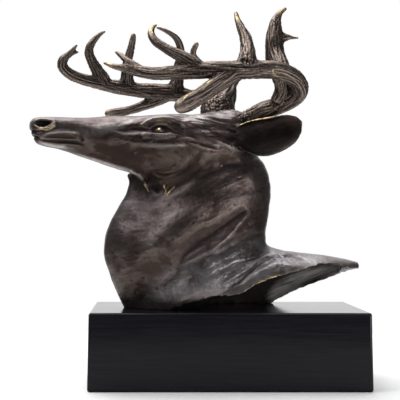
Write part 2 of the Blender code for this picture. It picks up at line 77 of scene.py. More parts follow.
# Neck sections from the foot up: front (across, up), back (across, up), half width and
# how far the throat narrows.
NECK = [
    (-96, -14, 40, -14, 43, 0), (-101, 0, 45, 0, 47, 0), (-113, 26, 49, 24, 51, 0),
    (-120, 49, 45, 45, 53, 0), (-121, 65, 40.5, 66, 52, 0), (-116.5, 81, 41.5, 82, 50, 0.05),
    (-108.5, 97, 44, 98, 47.5, 0.15), (-99.5, 112, 45.5, 114, 45, 0.3),
    (-96, 125, 44, 130, 43, 0.45), (-97, 134, 39.5, 142, 40, 0.6), (-68, 146, 30.5, 153, 37, 0.6),
    (-38, 160, 18, 166, 33, 0.4), (-22, 174, 8, 178, 24, 0.3),
]

# Withers sections from inside the neck back to the tip: across, ridge, foot, half width.
WITHERS = [
    (-40, 36, -54, 50), (-14, 48, -52, 55), (14, 55, -50, 58), (40, 60.5, -42, 57),
    (62, 56, -12, 51), (84, 53.5, 8, 41), (104, 51, 22, 29), (121, 48, 31, 17),
    (133, 44.5, 37.5, 8),
]

# The torn edge, as it shows in the elevation: across and up of its near side, then of its
# far side, and how far both are from the middle plane.
TORN_EDGE = [
    (-110, -45, -110, -80, 50), (-60, -8, -60, -46, 50), (-42, 1.5, -42, -37, 51),
    (-28, 5.6, -28, -30, 53), (-12, 10.5, -12, -22, 54), (3, 11.3, 2, -15, 55),
    (17, 14, 15, -9, 55), (27, 20, 25, -4.5, 54), (41, 26.8, 37, -1, 53), (57, 31.4, 50, 6.2, 50),
    (74, 36, 64, 12.9, 45), (83, 38.3, 74, 17.6, 40), (97, 43, 90, 23.4, 30),
    (111, 42.5, 107, 30, 20), (119, 38.6, 119, 35, 14), (130, 38.6, 130, 38, 7),
    (142, 38.6, 142, 38, 5),
]

# What is cut away under the torn edge reaches this far to each side and this far down.
CUT_SIDE = 110
CUT_DEPTH = 200

# Sections of the hollow under the withers: across, roof, foot, half width.
HOLLOW = [
    (-26, 24, -62, 36), (-4, 42, -60, 47), (26, 50.5, -52, 52), (54, 51, -22, 48.5),
    (80, 49, 4, 38), (100, 46.5, 20.5, 26.5), (115, 44, 29.5, 13),
]

# Head sections from the nose back: across, top, then (half width, up) of the brow line,
# of the widest line and of the jaw line, then the underside.
HEAD = [
    (-195, 185, 4.5, 184.4, 6, 181.5, 4.5, 178.5, 177.8),
    (-193, 188, 8, 186.8, 10.5, 182, 8, 175.5, 173.2),
    (-190.5, 189.3, 10.5, 187.4, 13, 181.5, 10.5, 171, 167.6),
    (-187, 190, 12.5, 187.7, 15, 180.5, 11.5, 167, 162.8),
    (-181, 190.2, 13.5, 187.4, 16.5, 179, 12.5, 164.8, 160.3),
    (-170, 190, 13.5, 186.8, 17.8, 176.5, 13, 163.3, 158.7),
    (-158, 189.7, 13, 186.3, 18, 174.5, 12.5, 160.5, 155.3),
    (-148, 189.4, 12.5, 186, 18, 173.5, 12, 158, 151.6),
    (-128, 189.9, 13.5, 186, 20.5, 170.5, 12.5, 153, 144.6),
    (-108, 190.7, 17, 186.5, 25.5, 167, 14, 148, 138),
    (-92, 190.4, 22, 186.5, 31, 165, 17, 144, 132.6),
    (-75, 191.2, 27, 187.5, 36.5, 163.5, 22, 139, 122),
    (-57, 191.8, 30, 188, 39.5, 163, 28, 136, 116), (-37, 191.2, 29.5, 187, 39, 163, 32, 137, 116),
    (-17, 193.7, 29, 188, 37.5, 166, 33, 142, 124), (3, 197, 28, 190, 35.5, 172, 32, 150, 138),
    (17, 193, 21, 187, 30, 170, 25, 156, 148), (27, 183, 11, 180, 16, 170, 12, 161, 157),
]

# Near ear sections from the root to the tip: across, upper edge, lower edge,
# depth of the edges and how far the cup goes back from them.
EAR = [
    (2, 176, 166, -33, 8), (8, 179.5, 162.5, -37, 10), (16, 183.4, 158, -42, 13),
    (26, 187, 152.2, -47, 15), (38, 189.2, 150, -51, 15), (50, 191.4, 152, -55, 13),
    (62, 192.8, 157.5, -58, 10), (71.5, 191.2, 164.5, -60, 7), (77.5, 186, 174, -61, 4),
]
EAR_SHEET = 3.4

# The antlers: runs of (across, up, depth, radius) from root to tip.
NEAR_ANTLER = {
    "beam": [
        (14, 182, -15, 11), (24, 187, -23, 10.5), (33, 192, -30, 10.5), (41, 197, -37, 9.6),
        (52, 201, -44, 9), (63, 206, -52, 9), (72, 212, -60, 8.8), (74.8, 220, -70, 8.8),
        (71.2, 227.5, -78, 8.7), (63, 233, -84, 8.7), (52, 236.5, -88, 8.9), (37, 237.5, -90, 9.2),
        (13, 237, -93, 9.2), (-15, 237, -93, 8.7), (-45, 235, -90, 7.4), (-70, 233.5, -85, 6.4),
        (-88, 236.3, -80, 5.8), (-99, 238.8, -77, 4.4), (-111, 240.5, -74, 3),
        (-120.5, 244, -72, 1.8),
    ],
    "upper_fork": [
        (-86, 238, -80, 5.2), (-97, 245.5, -76, 4), (-104, 251.5, -72, 2.9), (-109, 255, -70, 1.8),
    ],
    "front_tine": [
        (-27, 241, -92, 7.2), (-39.5, 248.5, -91, 6.4), (-50.8, 254, -89, 5.5),
        (-62, 260.5, -86, 4.8), (-70.3, 266.5, -83, 4.4), (-74, 273.5, -79, 3.8),
        (-72, 279.8, -76, 2.6), (-69, 282, -74, 1.7),
    ],
    "middle_tine": [
        (21.5, 243, -91, 10.2), (22.5, 252, -86, 8.5), (22, 261, -80, 6.8), (20.3, 270, -74, 6),
        (16, 279, -69, 4.5), (12.6, 287, -65, 3.2), (10.8, 293.6, -62, 2.5),
    ],
    "back_tine": [
        (52, 205, -52, 7.5), (58, 216, -56, 8.5), (57, 227, -60, 8.9), (51.2, 241, -62, 9.6),
        (49.8, 255, -62, 9.6), (49.3, 267, -61, 8.8), (49.8, 278, -59, 7.2), (51.3, 287, -57, 5.1),
        (55, 294, -55, 3.2), (60.5, 298.4, -53, 2),
    ],
    "tine_web": [
        (60, 233, -84, 7), (56, 241, -76, 8.2), (51.5, 251, -66, 8.8), (50, 260, -62, 8.6),
    ],
    "spur": [
        (54, 269, -60, 6.5), (61, 269.6, -61, 4), (67, 269.4, -62, 2.2), (73, 269.2, -63, 1.4),
    ],
    "brow_tine": [
        (8, 233, -93, 9), (-3, 226, -97, 8.8), (-15, 218, -101, 8.3), (-26, 210.3, -105, 8.2),
        (-36.5, 204, -108, 8.5), (-43.5, 200.8, -110, 7.8),
    ],
}
FAR_ANTLER = {
    "beam": [
        (-7, 182, 12, 14.5), (-7, 191, 18, 16.5), (-7, 198.5, 23, 17.5), (-4.5, 204.5, 27, 15.3),
        (-0.6, 210, 32, 12.4), (1.4, 215, 37, 10.4), (2.4, 221, 43, 9.2), (7.4, 230, 53, 8.3),
        (14.6, 236, 64, 7.9), (10, 235.5, 76, 7.5), (-1, 227, 83, 7.4), (-12, 218, 86, 7.4),
        (-30, 210.3, 88, 7), (-42, 212, 88, 7.4), (-60, 214.5, 87, 8.2), (-85, 216.8, 85, 7.4),
        (-105, 219.4, 82, 7), (-125, 223.4, 78, 6.2), (-142.5, 227.8, 75, 5.7),
        (-155, 233, 71, 5.5), (-162.3, 240.3, 67, 5.3), (-161.8, 247, 64, 4.8),
        (-157, 252, 61, 3.5), (-152.3, 257, 59, 2.5), (-148.5, 261.5, 57, 1.6),
    ],
    "beam_fork": [
        (-157, 250.5, 62, 3.2), (-152, 253.3, 61, 2.2), (-147.2, 255, 60, 1.5),
    ],
    "front_tine": [
        (-121.5, 226, 79, 8), (-128, 237, 76, 6.2), (-133, 246, 73, 5.1), (-136, 254, 70, 4.7),
        (-134.8, 261, 67, 4.1), (-130, 267.7, 65, 3.2), (-125, 272.7, 63, 2.4),
        (-120.5, 275.3, 61, 1.6),
    ],
    "second_tine": [
        (-98, 225, 83, 7.2), (-98, 235, 80, 5.8), (-98, 243, 77, 4.8), (-96, 251, 75, 4.4),
        (-93.8, 260, 73, 4), (-92, 268, 71, 3.3), (-91.6, 271.4, 70, 2.8),
    ],
    "third_tine": [
        (-50, 217, 87, 8.4), (-47.5, 228, 84, 6.2), (-46.5, 240, 81, 5.2), (-44.3, 251, 78, 4.5),
        (-44.8, 260, 76, 4), (-48.5, 268.2, 73, 3.4), (-55, 273.8, 70, 2.6), (-62, 277.3, 68, 2),
        (-68, 279.5, 66, 1.5),
    ],
    "small_tine": [
        (-2, 227, 82, 5.5), (-17, 237, 79, 4.6), (-28, 246, 76, 3.8), (-32, 254, 73, 3.2),
        (-28.6, 262.7, 70, 2.8),
    ],
    "brow_tine": [
        (-57, 213.5, 88, 8), (-70, 206.8, 92, 6.8), (-82, 201.3, 95, 5.2), (-95, 197, 98, 4.6),
        (-107, 194.4, 100, 4.9), (-116.3, 193.6, 101, 4.3),
    ],
}

# Strokes of the modelling tool on the near side of the head, mirrored to the far side:
# points (across, up) of the elevation, reach, height (below 0 takes clay away).
HEAD_FORMS = {
    "nostril": ([(-189, 184.4), (-183, 184.4), (-175, 184.6)], 4.8, -3.6),
    "mouth": ([(-190, 168.8), (-178, 166), (-160, 165), (-146, 163.6), (-141, 161.5)], 2.8, -1.6),
    "upper lip": ([(-183, 171.5), (-177, 174), (-165, 175.6), (-153, 175), (-145, 173)], 4, 1),
    "cheek bone": (
        [(-118, 171), (-104, 168), (-92, 165), (-81, 163.6), (-72, 162), (-58, 162), (-38, 162)],
        8, 1.5,
    ),
    "cheek hollow": ([(-130, 160), (-104, 153), (-82, 146)], 12, -1.8),
    "jaw edge": ([(-148, 153), (-125, 146), (-105, 139.5), (-93, 136.5), (-85, 132)], 4.5, 1.3),
    "jaw angle": ([(-66, 117), (-50, 120), (-38, 130), (-30, 143), (-24, 155)], 11, -2),
    "temple": ([(-44, 178), (-26, 180), (-8, 181)], 8, -2),
    "eye socket": ([(-77, 178.6), (-66, 178), (-53, 177)], 8.5, -3.8),
    "tear groove": ([(-112, 177.5), (-94, 177.3), (-76, 178)], 6, -2.6),
    "eyeball": ([(-66.5, 177.6), (-63, 177.4)], 5, 2.8),
    "brow ridge": ([(-84, 182), (-73, 186.8), (-61, 188.5), (-52, 187), (-42, 183)], 6, 3),
    "under the eye": ([(-88, 170), (-74, 171), (-62, 170.6), (-48, 172)], 6, 1.4),
    "nose bridge": ([(-150, 186), (-120, 186)], 9, -0.7),
}

# The same on the neck and the withers.
NECK_FORMS = {
    "throat cord": ([(-94, 136), (-88.5, 133.6), (-84, 130), (-80, 124), (-76, 115)], 4.4, 2.2),
    "throat hollow": ([(-74.5, 132), (-71, 124), (-67, 115)], 7.5, -2.8),
    "neck bulge": ([(-16, 106), (-41, 88), (-68, 64), (-88, 46)], 24, 4.6),
    "nape furrow": ([(20, 98), (-9, 76), (-36, 57), (-50, 36)], 15, -4.2),
    "nape cord": ([(26, 95), (8, 78), (-4, 65), (-16, 54)], 9, 2),
    "shoulder edge": ([(42, 74), (22, 69), (2, 59), (-20, 49), (-46, 35), (-64, 20)], 9, -2.2),
    "shoulder": ([(74, 40), (46, 40), (18, 32), (-8, 23), (-32, 12), (-52, 2)], 26, 4.5),
    "shoulder furrow": ([(79, 48), (57, 50), (40, 42), (28, 36), (11, 23), (3, 21)], 6, -2.2),
    "shoulder fold": ([(50, 52), (38, 47), (27, 41), (14, 34), (5, 29), (-3, 23)], 6, 2),
}

# Fineness of the fused skin, in units, and the triangles it keeps.
VOXEL = 1.05
SKIN_TRIANGLES = 186000

# Points this close to the hollow's cutter, in metres, lie on the hollow's wall.
ON_WALL = 0.0004

# The antlers carry pearls up to this far from their roots, this far apart.
PEARL_REACH = 30
PEARL_SPACING = 2.7

# Finer strokes than the forms above, of the same kind, on the head.
HEAD_DETAILS = {
    "nostril depth": ([(-191, 184), (-186, 183.6), (-180, 183.6), (-173, 185)], 4.4, -3),
    "nostril rim": (
        [(-190, 182.6), (-186, 179.2), (-178, 177.8), (-172, 180.6), (-169.8, 185),
         (-172.5, 188.4)], 2, 1.2,
    ),
    "lip side": ([(-181, 170), (-165, 170.4), (-150, 169.2)], 3.6, -1.2),
    "mouth line": ([(-186, 167.4), (-170.6, 165), (-156, 164.6), (-145, 163.6)], 1.5, -1.2),
    "lip ridge": ([(-182, 173.4), (-165, 175.8), (-150, 174.4)], 2, 0.8),
    "mouth corner": ([(-144.5, 171), (-142, 166)], 3.6, -1.4),
    "lower lip": ([(-184, 163), (-170, 160.6), (-156, 159.4)], 3, 0.8),
    "eyeball": ([(-69, 177.4), (-66, 177.8), (-62, 177.4)], 3, 0.9),
    "eye slit above": ([(-76, 176.4), (-69.5, 179.8), (-63, 180.2), (-54, 176.4)], 1.5, -1.2),
    "eye slit below": ([(-74, 175.6), (-67, 174.6), (-58, 175.6)], 1.3, -0.9),
    "upper lid": ([(-77, 178), (-70, 182), (-62.5, 182.6), (-51, 177.6)], 2, 1.5),
    "corner of the eye": ([(-56, 177), (-50, 174.6), (-44, 172.6)], 2.4, -1.2),
    "lid wrinkle one": ([(-70, 184.6), (-62, 185.2), (-50, 181)], 1.3, -1),
    "lid wrinkle two": ([(-66, 188), (-56, 187), (-46, 182)], 1.3, -0.9),
    "lower lid": ([(-76.5, 174), (-68, 172.6), (-60, 172.8), (-53, 174.6)], 1.9, 1.1),
    "tear duct": ([(-96, 178.6), (-86, 178.2), (-75, 176.8)], 3, -1.5),
    "below the tear duct": ([(-83.6, 172.4), (-79, 173.2), (-74.5, 172)], 2.6, 1),
    "tear pit": ([(-83, 167.6), (-77, 166.4), (-73, 167.6)], 3.6, -1.7),
    "eye bag pit": ([(-69, 166.4), (-62, 165.8), (-57, 166.6)], 3.6, -1.5),
    "temple fold": ([(-50, 168), (-40, 170), (-31, 168)], 2.6, 0.9),
    "cheek crease": ([(-98, 171.6), (-88, 168.8), (-82, 170.6)], 2.6, -0.8),
    "jaw line one": ([(-148, 150.6), (-126, 143.4), (-107, 137.4)], 1.6, 0.6),
    "poll lock one": ([(-50, 190.5), (-35, 189), (-18, 186)], 2, -0.7),
    "poll lock two": ([(-46, 193.6), (-30, 193.4), (-8, 190)], 2, 0.8),
    "poll lock three": ([(-44, 186), (-26, 184.6), (-6, 180)], 2, 0.7),
    "poll lock four": ([(-30, 190.6), (-14, 188.4), (2, 183)], 2, -0.8),
    "ear root fold": ([(-14, 176), (0, 171), (8, 166)], 4, -1.5),
    "ear root ridge": ([(-18, 170), (-2, 163.6), (8, 159)], 4, 1.4),
    "cheek to ear": ([(-38, 165), (-20, 159), (-6, 156)], 4, 1),
}

# What goes right round the tip of the muzzle.
MUZZLE_DETAILS = {
    "nose groove": ([(-200, 178.5), (-192, 176), (-187, 175.4), (-180, 177.4)], 2.6, -1.3),
    "gap of the mouth": ([(-200, 171.6), (-192, 170.6), (-185, 168.6)], 2.4, -2),
    "chin line": ([(-196, 164.8), (-186, 161.6), (-174, 160)], 2, -0.7),
}

# And on the neck and the withers.
NECK_DETAILS = {
    "throat cord": ([(-94, 136.4), (-86, 132), (-80.5, 124), (-76, 115.5)], 2.6, 1.9),
    "throat valley": ([(-77, 131), (-72, 122), (-67, 116)], 4, -1.4),
    "cord by the jaw": ([(-70, 134), (-62, 131), (-52, 133)], 3, -1),
    "shoulder wrinkle": (
        [(48, 56.7), (34, 50), (22, 46.3), (11, 44), (-1, 38), (-12, 34)], 2.4, -1.2,
    ),
    "withers wrinkle": ([(82, 47), (70, 50.5), (58, 50.5)], 3, -1.2),
    "fold wrinkle": ([(48, 49), (36, 43.5), (22, 34), (12, 28)], 2.2, -0.8),
    "light hump": ([(-18, 47), (-13, 44)], 9, 1.2),
    "knot one": ([(-62, 125), (-60, 119), (-58, 114.5)], 2, 1.2),
    "knot two": ([(-56, 123), (-58.5, 117.5), (-60, 113.5)], 1.8, 1.2),
    "knot three": ([(-49, 121), (-54, 116), (-58, 112)], 2.1, 1.3),
    "knot slit": ([(-59.4, 124), (-59, 118), (-56, 114)], 1.2, -1),
    "chest dent": ([(-114, 58), (-106, 34)], 9, -1),
    "flank swell": ([(-106, 84), (-100, 66)], 12, 1),
    "nape swell": ([(22, 140), (30, 118)], 12, 1.2),
    "ear shadow": ([(-6, 146), (14, 143)], 8, -1.2),
}

# Where hands' rubbing has bared the metal through the patina, on the head and the neck; the eyeball's
# spot is a painted glint, and the lines on the torn rim and the ear rim are partly painted
# highlights.
RUBBED_AND_GLINTS = {
    "nostril": ([(-189, 181), (-184, 178.6), (-176, 178.6), (-170.8, 183), (-171.4, 187)], 1.7),
    "eyelid": ([(-71, 183.2), (-63, 184.4), (-54, 181)], 1.6),
    "eyelid fold": ([(-68, 187), (-60, 187), (-52, 184)], 1.2),
    "eyeball": ([(-67.4, 177.8), (-64.6, 177.6)], 1.8),
    "throat cord": ([(-83, 127), (-79.5, 120), (-76, 114.6)], 2.2),
    "knot": ([(-61, 122), (-57.6, 113.6), (-50, 121)], 2.6),
    "torn rim": ([(30, 22.6), (41, 27.3), (50, 30), (57, 31.6)], 1.1),
    "ear rim": ([(8, 178), (20, 185), (30, 188), (45, 190), (54, 192)], 1.5),
}

# Ridges where wear has lightened the brown, the same marks also painted highlights where light
# catches the ridges and the upper face.
WORN_AND_HIGHLIT = {
    "jaw edge": ([(-150, 153.4), (-125, 145.6), (-105, 139.2), (-94, 136.4), (-86, 132)], 1.9),
    "brow": ([(-84, 182.6), (-73, 187.2), (-61, 188.8), (-48, 186)], 2.6),
    "below the tear duct": ([(-84, 172.4), (-74, 172.4)], 1.8),
    "eye bag": ([(-72, 171.4), (-62, 171.6), (-49, 172.4)], 1.8),
    "cheek bone": ([(-84, 163.8), (-62, 162.2), (-36, 162.2)], 1.6),
    "upper lip": ([(-184, 173.4), (-165, 176), (-146, 174.4)], 2.6),
    "lower lip": ([(-189, 165), (-170, 161), (-152, 158.6)], 2.2),
    "nose": ([(-192, 187), (-195, 182), (-193, 176)], 2.8),
    "side of the nose": ([(-150, 178), (-128, 177), (-108, 182), (-92, 187)], 7),
    "temple": ([(-44, 184), (-30, 188), (-12, 184)], 5),
    "ear's lower rim": ([(77, 178), (74, 168), (62, 156.6), (44, 150), (24, 152)], 1.6),
    "ear root": ([(-10, 162), (4, 160), (16, 156)], 2.4),
}

# The same on the near antler.
RUBBED_ANTLER = {
    "brow tine": ([(-42, 208), (-36, 214), (-26, 221), (-12, 227.5)], 1.8),
    "bend": ([(53, 242), (48, 236), (50.4, 231.8), (58, 227), (66, 222)], 1),
    "middle tine tip": ([(10.8, 293), (12, 286)], 4),
    "front tine tip": ([(-69, 282), (-73, 278), (-74, 272)], 3),
    "back tine tip": ([(60, 298), (54, 292)], 3),
    "beam tip": ([(-120, 243), (-112, 240.6)], 3),
}

# Areas coloured apart, as a line and the reach to both sides of it: a shoulder painted lighter,
# partly a powdery grey and partly painted light, a lower cheek and an ear cup painted in shade, and a
# far lip painted as lit.
LIT_DUSTY_SHOULDER = ([(115, 52), (50, 46), (10, 34), (-30, 22), (-80, 4)], 36)
SHADED_CHEEK = ([(-165, 163), (-105, 151), (-72, 147), (-16, 146)], 25)
SHADED_EAR_CUP = ([(6, 172), (26, 170), (44, 171), (66, 176)], 21)
LIT_FAR_LIP = ([(44, 8), (65, 20), (93.6, 30), (122, 40)], 14)

# How the head, the neck and the withers flow, for streaks of fur: a place in the elevation
# and the direction there.
FLOWS = [
    ((-130, 175), (1, -0.12)),
    ((-60, 160), (1, -0.3)),
    ((-20, 185), (1, -0.25)),
    ((-50, 105), (1, 0.4)),
    ((-85, 50), (1, 0.2)),
    ((-30, 60), (1, 0.7)),
    ((10, 95), (1, 0.5)),
    ((20, 40), (1, 0.55)),
    ((90, 42), (1, -0.1)),
]


def block_point(across, up, depth):
    """A place in metres from units off the middle of the block's top."""
    return Vector((across, depth, up)) * UNIT + Vector((0, 0, PLINTH_HEIGHT))


def sight(across, up, depth):
    """The place at this depth, in units, that EYE sees over (across, up) of the elevation."""
    reach = 1 + depth / EYE_DISTANCE
    return EYE_ACROSS + (across - EYE_ACROSS) * reach, depth, EYE_UP + (up - EYE_UP) * reach


def elevation(points):
    """Where EYE sees points, given in units: their (across, up)."""
    reach = 1 + points[:, 1] / EYE_DISTANCE
    return np.column_stack(
        (
            EYE_ACROSS + (points[:, 0] - EYE_ACROSS) / reach,
            EYE_UP + (points[:, 2] - EYE_UP) / reach,
        )
    )


def smooth_run(rows, per_span):
    """Rows of numbers on a Catmull-Rom curve through the given rows."""
    rows = np.array(rows, float)
    ends = np.vstack((2 * rows[0] - rows[1], rows, 2 * rows[-1] - rows[-2]))
    t = np.linspace(0, 1, per_span, endpoint=False)[:, None]
    run = []
    for a, b, c, d in zip(ends, ends[1:], ends[2:], ends[3:]):
        run.extend(
            0.5 * (2 * b + (c - a) * t + (2 * a - 5 * b + 4 * c - d) * t**2
                   + (3 * b - a - 3 * c + d) * t**3)
        )
    return np.array([*run, rows[-1]])



def deselect():
    """Leaves nothing selected."""
    for chosen in list(bpy.context.selected_objects):
        chosen.select_set(False)


def make_active(obj):
    """Selects this object alone."""
    deselect()
    obj.select_set(True)
    bpy.context.view_layer.objects.active = obj


def apply_modifier(obj, kind, **settings):
    """Adds a modifier with these settings and applies it."""
    modifier = obj.modifiers.new(kind.lower(), kind)
    for name, value in settings.items():
        setattr(modifier, name, value)
    make_active(obj)
    bpy.ops.object.modifier_apply(modifier=modifier.name)


def placed(name, data):
    """A new object with this data in the scene."""
    made = bpy.data.objects.new(name, data)
    bpy.context.scene.collection.objects.link(made)
    return made


def solid(name, bm):
    """An object with this bmesh, which is freed, its faces turned outwards."""
    bmesh.ops.recalc_face_normals(bm, faces=bm.faces)
    mesh = bpy.data.meshes.new(name)
    bm.to_mesh(mesh)
    bm.free()
    return placed(name, mesh)


def loft(name, rings):
    """A closed solid through rings of places, all with the same number of them."""
    bm = bmesh.new()
    loops = [[bm.verts.new(place) for place in ring] for ring in rings]
    for lower, upper in zip(loops, loops[1:]):
        for i, corner in enumerate(lower):
            bm.faces.new((lower[i - 1], corner, upper[i], upper[i - 1]))
    bm.faces.new(loops[0])
    bm.faces.new(loops[-1])
    return solid(name, bm)


def oval_ring(centre, half_height, half_width, lift, sharpness, count=48):
    """An upright oval across the block: blunt below, and pointed above by sharpness."""
    ring = []
    for i in range(count):
        angle = 2 * math.pi * i / count
        side, rise = math.sin(angle), math.cos(angle)
        waist = 1 - sharpness * max(rise, 0) ** 2
        ring.append(block_point(centre, lift + half_height * rise, half_width * side * waist))
    return ring


def neck_solid():
    """The neck, from below the block's top to inside the skull."""
    rings = []
    for front_a, front_u, back_a, back_u, half_width, throat in smooth_run(NECK, 8):
        ring = []
        for i in range(96):
            angle = 2 * math.pi * i / 96
            along = math.cos(angle)
            pinch = 0.1 * along + 0.1 * along**2 + throat * max(along, 0) ** 2
            across = (front_a + back_a + (front_a - back_a) * along) / 2
            up = (front_u + back_u + (front_u - back_u) * along) / 2
            ring.append(block_point(across, up, half_width * math.sin(angle) * (1 - pinch)))
        rings.append(ring)
    return loft("neck", rings)


def withers_solid():
    """The stub of the back, running out to its tip."""
    rings = [
        oval_ring(across, (ridge - foot) / 2, half_width, (ridge + foot) / 2, 0.28)
        for across, ridge, foot, half_width in smooth_run(WITHERS, 8)
    ]
    return loft("withers", rings)


def head_place(across, up, aside):
    """A place on a head section: aside is the distance off the head's turned middle plane."""
    depth = (across - POLL_ACROSS) * math.tan(HEAD_TURN)
    x, y, z = sight(across, up, depth)
    return block_point(x + aside * math.sin(HEAD_TURN), z, y - aside * math.cos(HEAD_TURN))


def head_solid():
    """The head, from the nose to the back of the skull."""
    rings = []
    for station in smooth_run(HEAD, 8):
        across, top, brow_w, brow_u, wide_w, wide_u, jaw_w, jaw_u, under = station
        half = [(0, top), (brow_w, brow_u), (wide_w, wide_u), (jaw_w, jaw_u), (0, under)]
        outline = half + [(-w, u) for w, u in half[-2:0:-1]]
        closed = smooth_run(outline[-2:] + outline + outline[:2], 8)[16:-16][:64]
        rings.append([head_place(across, up, aside) for aside, up in closed])
    return loft("head", rings)


def mirrored(points):
    """Points, in units, carried across the head's turned middle plane."""
    normal = np.array((math.sin(HEAD_TURN), -math.cos(HEAD_TURN), 0))
    off = (points - (POLL_ACROSS, 0, 0)) @ normal
    return points - 2 * off[:, None] * normal


def ear_rings():
    """The near ear's crescent sections, as arrays of units."""
    rings = []
    sweep = np.radians(np.linspace(90, -90, 17))
    for across, upper, lower, edge_depth, cup in smooth_run(EAR, 8):
        middle, half = (upper + lower) / 2, (upper - lower) / 2
        back = [(middle + half * math.sin(a), edge_depth + cup * math.cos(a)) for a in sweep]
        inner_half = max(half - EAR_SHEET * 0.5, half * 0.6)
        inner_cup = cup - EAR_SHEET
        inside = [
            (middle + inner_half * math.sin(a), edge_depth - 0.6 + inner_cup * math.cos(a))
            for a in sweep[::-1]
        ]
        rings.append(np.array([sight(across, up, depth) for up, depth in back + inside]))
    return rings


def ear_solids():
    """Both ears: leaf-shaped cups, open towards their own side."""
    near = ear_rings()
    return [
        loft(name, [[block_point(x, z, y) for x, y, z in ring] for ring in rings])
        for name, rings in (("near_ear", near), ("far_ear", [mirrored(r) for r in near]))
    ]


def horn_run(controls, per_span=8):
    """Points (x, y, z, radius), in units, along one run of an antler."""
    rows = []
    for across, up, depth, radius in controls:
        rows.append((*sight(across, up, depth), radius * (1 + depth / EYE_DISTANCE)))
    return smooth_run(rows, per_span)


def horn_solid(name, controls):
    """One run of an antler as a tapered tube with a rounded tip."""
    run = list(horn_run(controls))
    tip, heading = run[-1], run[-1][:3] - run[-2][:3]
    heading = heading / np.linalg.norm(heading)
    for angle in map(math.radians, (30, 60, 80)):
        ahead = tip[:3] + heading * tip[3] * math.sin(angle)
        run.append((*ahead, tip[3] * math.cos(angle)))
    curve = bpy.data.curves.new(name, "CURVE")
    curve.dimensions = "3D"
    curve.bevel_depth = UNIT
    curve.bevel_resolution = 6
    curve.use_fill_caps = True
    line = curve.splines.new("POLY")
    line.points.add(len(run) - 1)
    for point, (x, y, z, radius) in zip(line.points, run):
        point.co = (*block_point(x, z, y), 1)
        point.radius = radius
    horn = placed(name, curve)
    make_active(horn)
    bpy.ops.object.convert(target="MESH")
    return horn


def distances(points, mesh):
    """How far each point, in units, is from the mesh, in metres."""
    tree = BVHTree.FromPolygons([v.co for v in mesh.vertices], [p.vertices for p in mesh.polygons])
    return np.array([tree.find_nearest(block_point(x, z, y))[3] for x, y, z in points])


def seam_share(points, pieces, start, end):
    """1 where two of the pieces are closer than start, 0 from end on, for each point."""
    reach = [distances(points, piece.data) for piece in pieces]
    second = np.sort(np.array(reach), axis=0)[1] / UNIT
    return np.clip((end - second) / (end - start), 0, 1)


def fused(name, pieces):
    """One skin round all the pieces, which are used up."""
    deselect()
    for piece in pieces:
        piece.select_set(True)
    bpy.context.view_layer.objects.active = pieces[0]
    bpy.ops.object.join()
    whole = pieces[0]
    whole.name = name
    apply_modifier(whole, "REMESH", mode="VOXEL", voxel_size=VOXEL * UNIT)
    return whole


BASE = np.array((0, 0, PLINTH_HEIGHT))


def mesh_arrays(mesh):
    """Its points in units, its edges and its normals."""
    count = len(mesh.vertices)
    points, normals = np.empty(count * 3), np.empty(count * 3)
    mesh.vertices.foreach_get("co", points)
    mesh.vertex_normals.foreach_get("vector", normals)
    edges = np.empty(len(mesh.edges) * 2, int)
    mesh.edges.foreach_get("vertices", edges)
    return (points.reshape(-1, 3) - BASE) / UNIT, edges.reshape(-1, 2), normals.reshape(-1, 3)


def store_points(mesh, points):
    """Puts points, in units, back into the mesh."""
    mesh.vertices.foreach_set("co", (points * UNIT + BASE).ravel())
    mesh.update()


def relaxed(points, edges, share, rounds):
    """Points drawn towards the mean of their neighbours, by a share that may vary."""
    count = len(points)
    ends = np.concatenate((edges, edges[:, ::-1]))
    valence = np.bincount(ends[:, 0], minlength=count)[:, None]
    for _ in range(rounds):
        total = np.column_stack(
            [np.bincount(ends[:, 0], column[ends[:, 1]], count) for column in points.T]
        )
        points = points + (total / valence - points) * share
    return points


def stroke_share(places, path, reach):
    """1 on a smooth line through the path, down to 0 at its reach, fading towards its ends."""
    line = smooth_run(path, 6)
    low, high = line.min(axis=0) - reach, line.max(axis=0) + reach
    inside = np.flatnonzero(np.all((places > low) & (places < high), axis=1))
    close = places[inside]
    best = np.zeros(len(close))
    for k, (a, b) in enumerate(zip(line, line[1:])):
        run = b - a
        t = np.clip((close - a) @ run / (run @ run), 0, 1)
        away = np.linalg.norm(close - a - t[:, None] * run, axis=1)
        fade = 0.25 + 0.75 * np.sin(np.pi * (k + t) / (len(line) - 1)) ** 0.6
        best = np.maximum(best, fade - away / reach)
    share = np.zeros(len(places))
    share[inside] = best
    return share


def stroked(places, strokes):
    """How far the strokes push the surface out at each place of the elevation."""
    push = np.zeros(len(places))
    for path, reach, height in strokes.values():
        share = stroke_share(places, path, reach)
        push += height * share**2 * (3 - 2 * share)
    return push


def near_side(points):
    """The points with those of the far side mirrored to the near one: by head and by neck."""
    across_plane = np.array((math.sin(HEAD_TURN), -math.cos(HEAD_TURN), 0))
    here = (points - (POLL_ACROSS, 0, 0)) @ across_plane > 0
    by_head = np.where(here[:, None], points, mirrored(points))
    by_neck = points * (1, -1, 1)
    by_neck[points[:, 1] < 0] = points[points[:, 1] < 0]
    return by_head, by_neck, across_plane


def modelled(points, normals, head_strokes, neck_strokes, round_strokes, body):
    """The points after strokes on both sides of the head and the neck."""
    by_head, by_neck, across_plane = near_side(points)
    facing_head = np.clip(np.abs(normals @ across_plane) * 1.6, 0, 1)
    facing_neck = np.clip(np.abs(normals[:, 1]) * 1.6, 0, 1)
    push = stroked(elevation(by_head), head_strokes) * facing_head
    push += stroked(elevation(by_neck), neck_strokes) * facing_neck
    push += stroked(elevation(by_head), round_strokes)
    return points + normals * (push * body)[:, None]


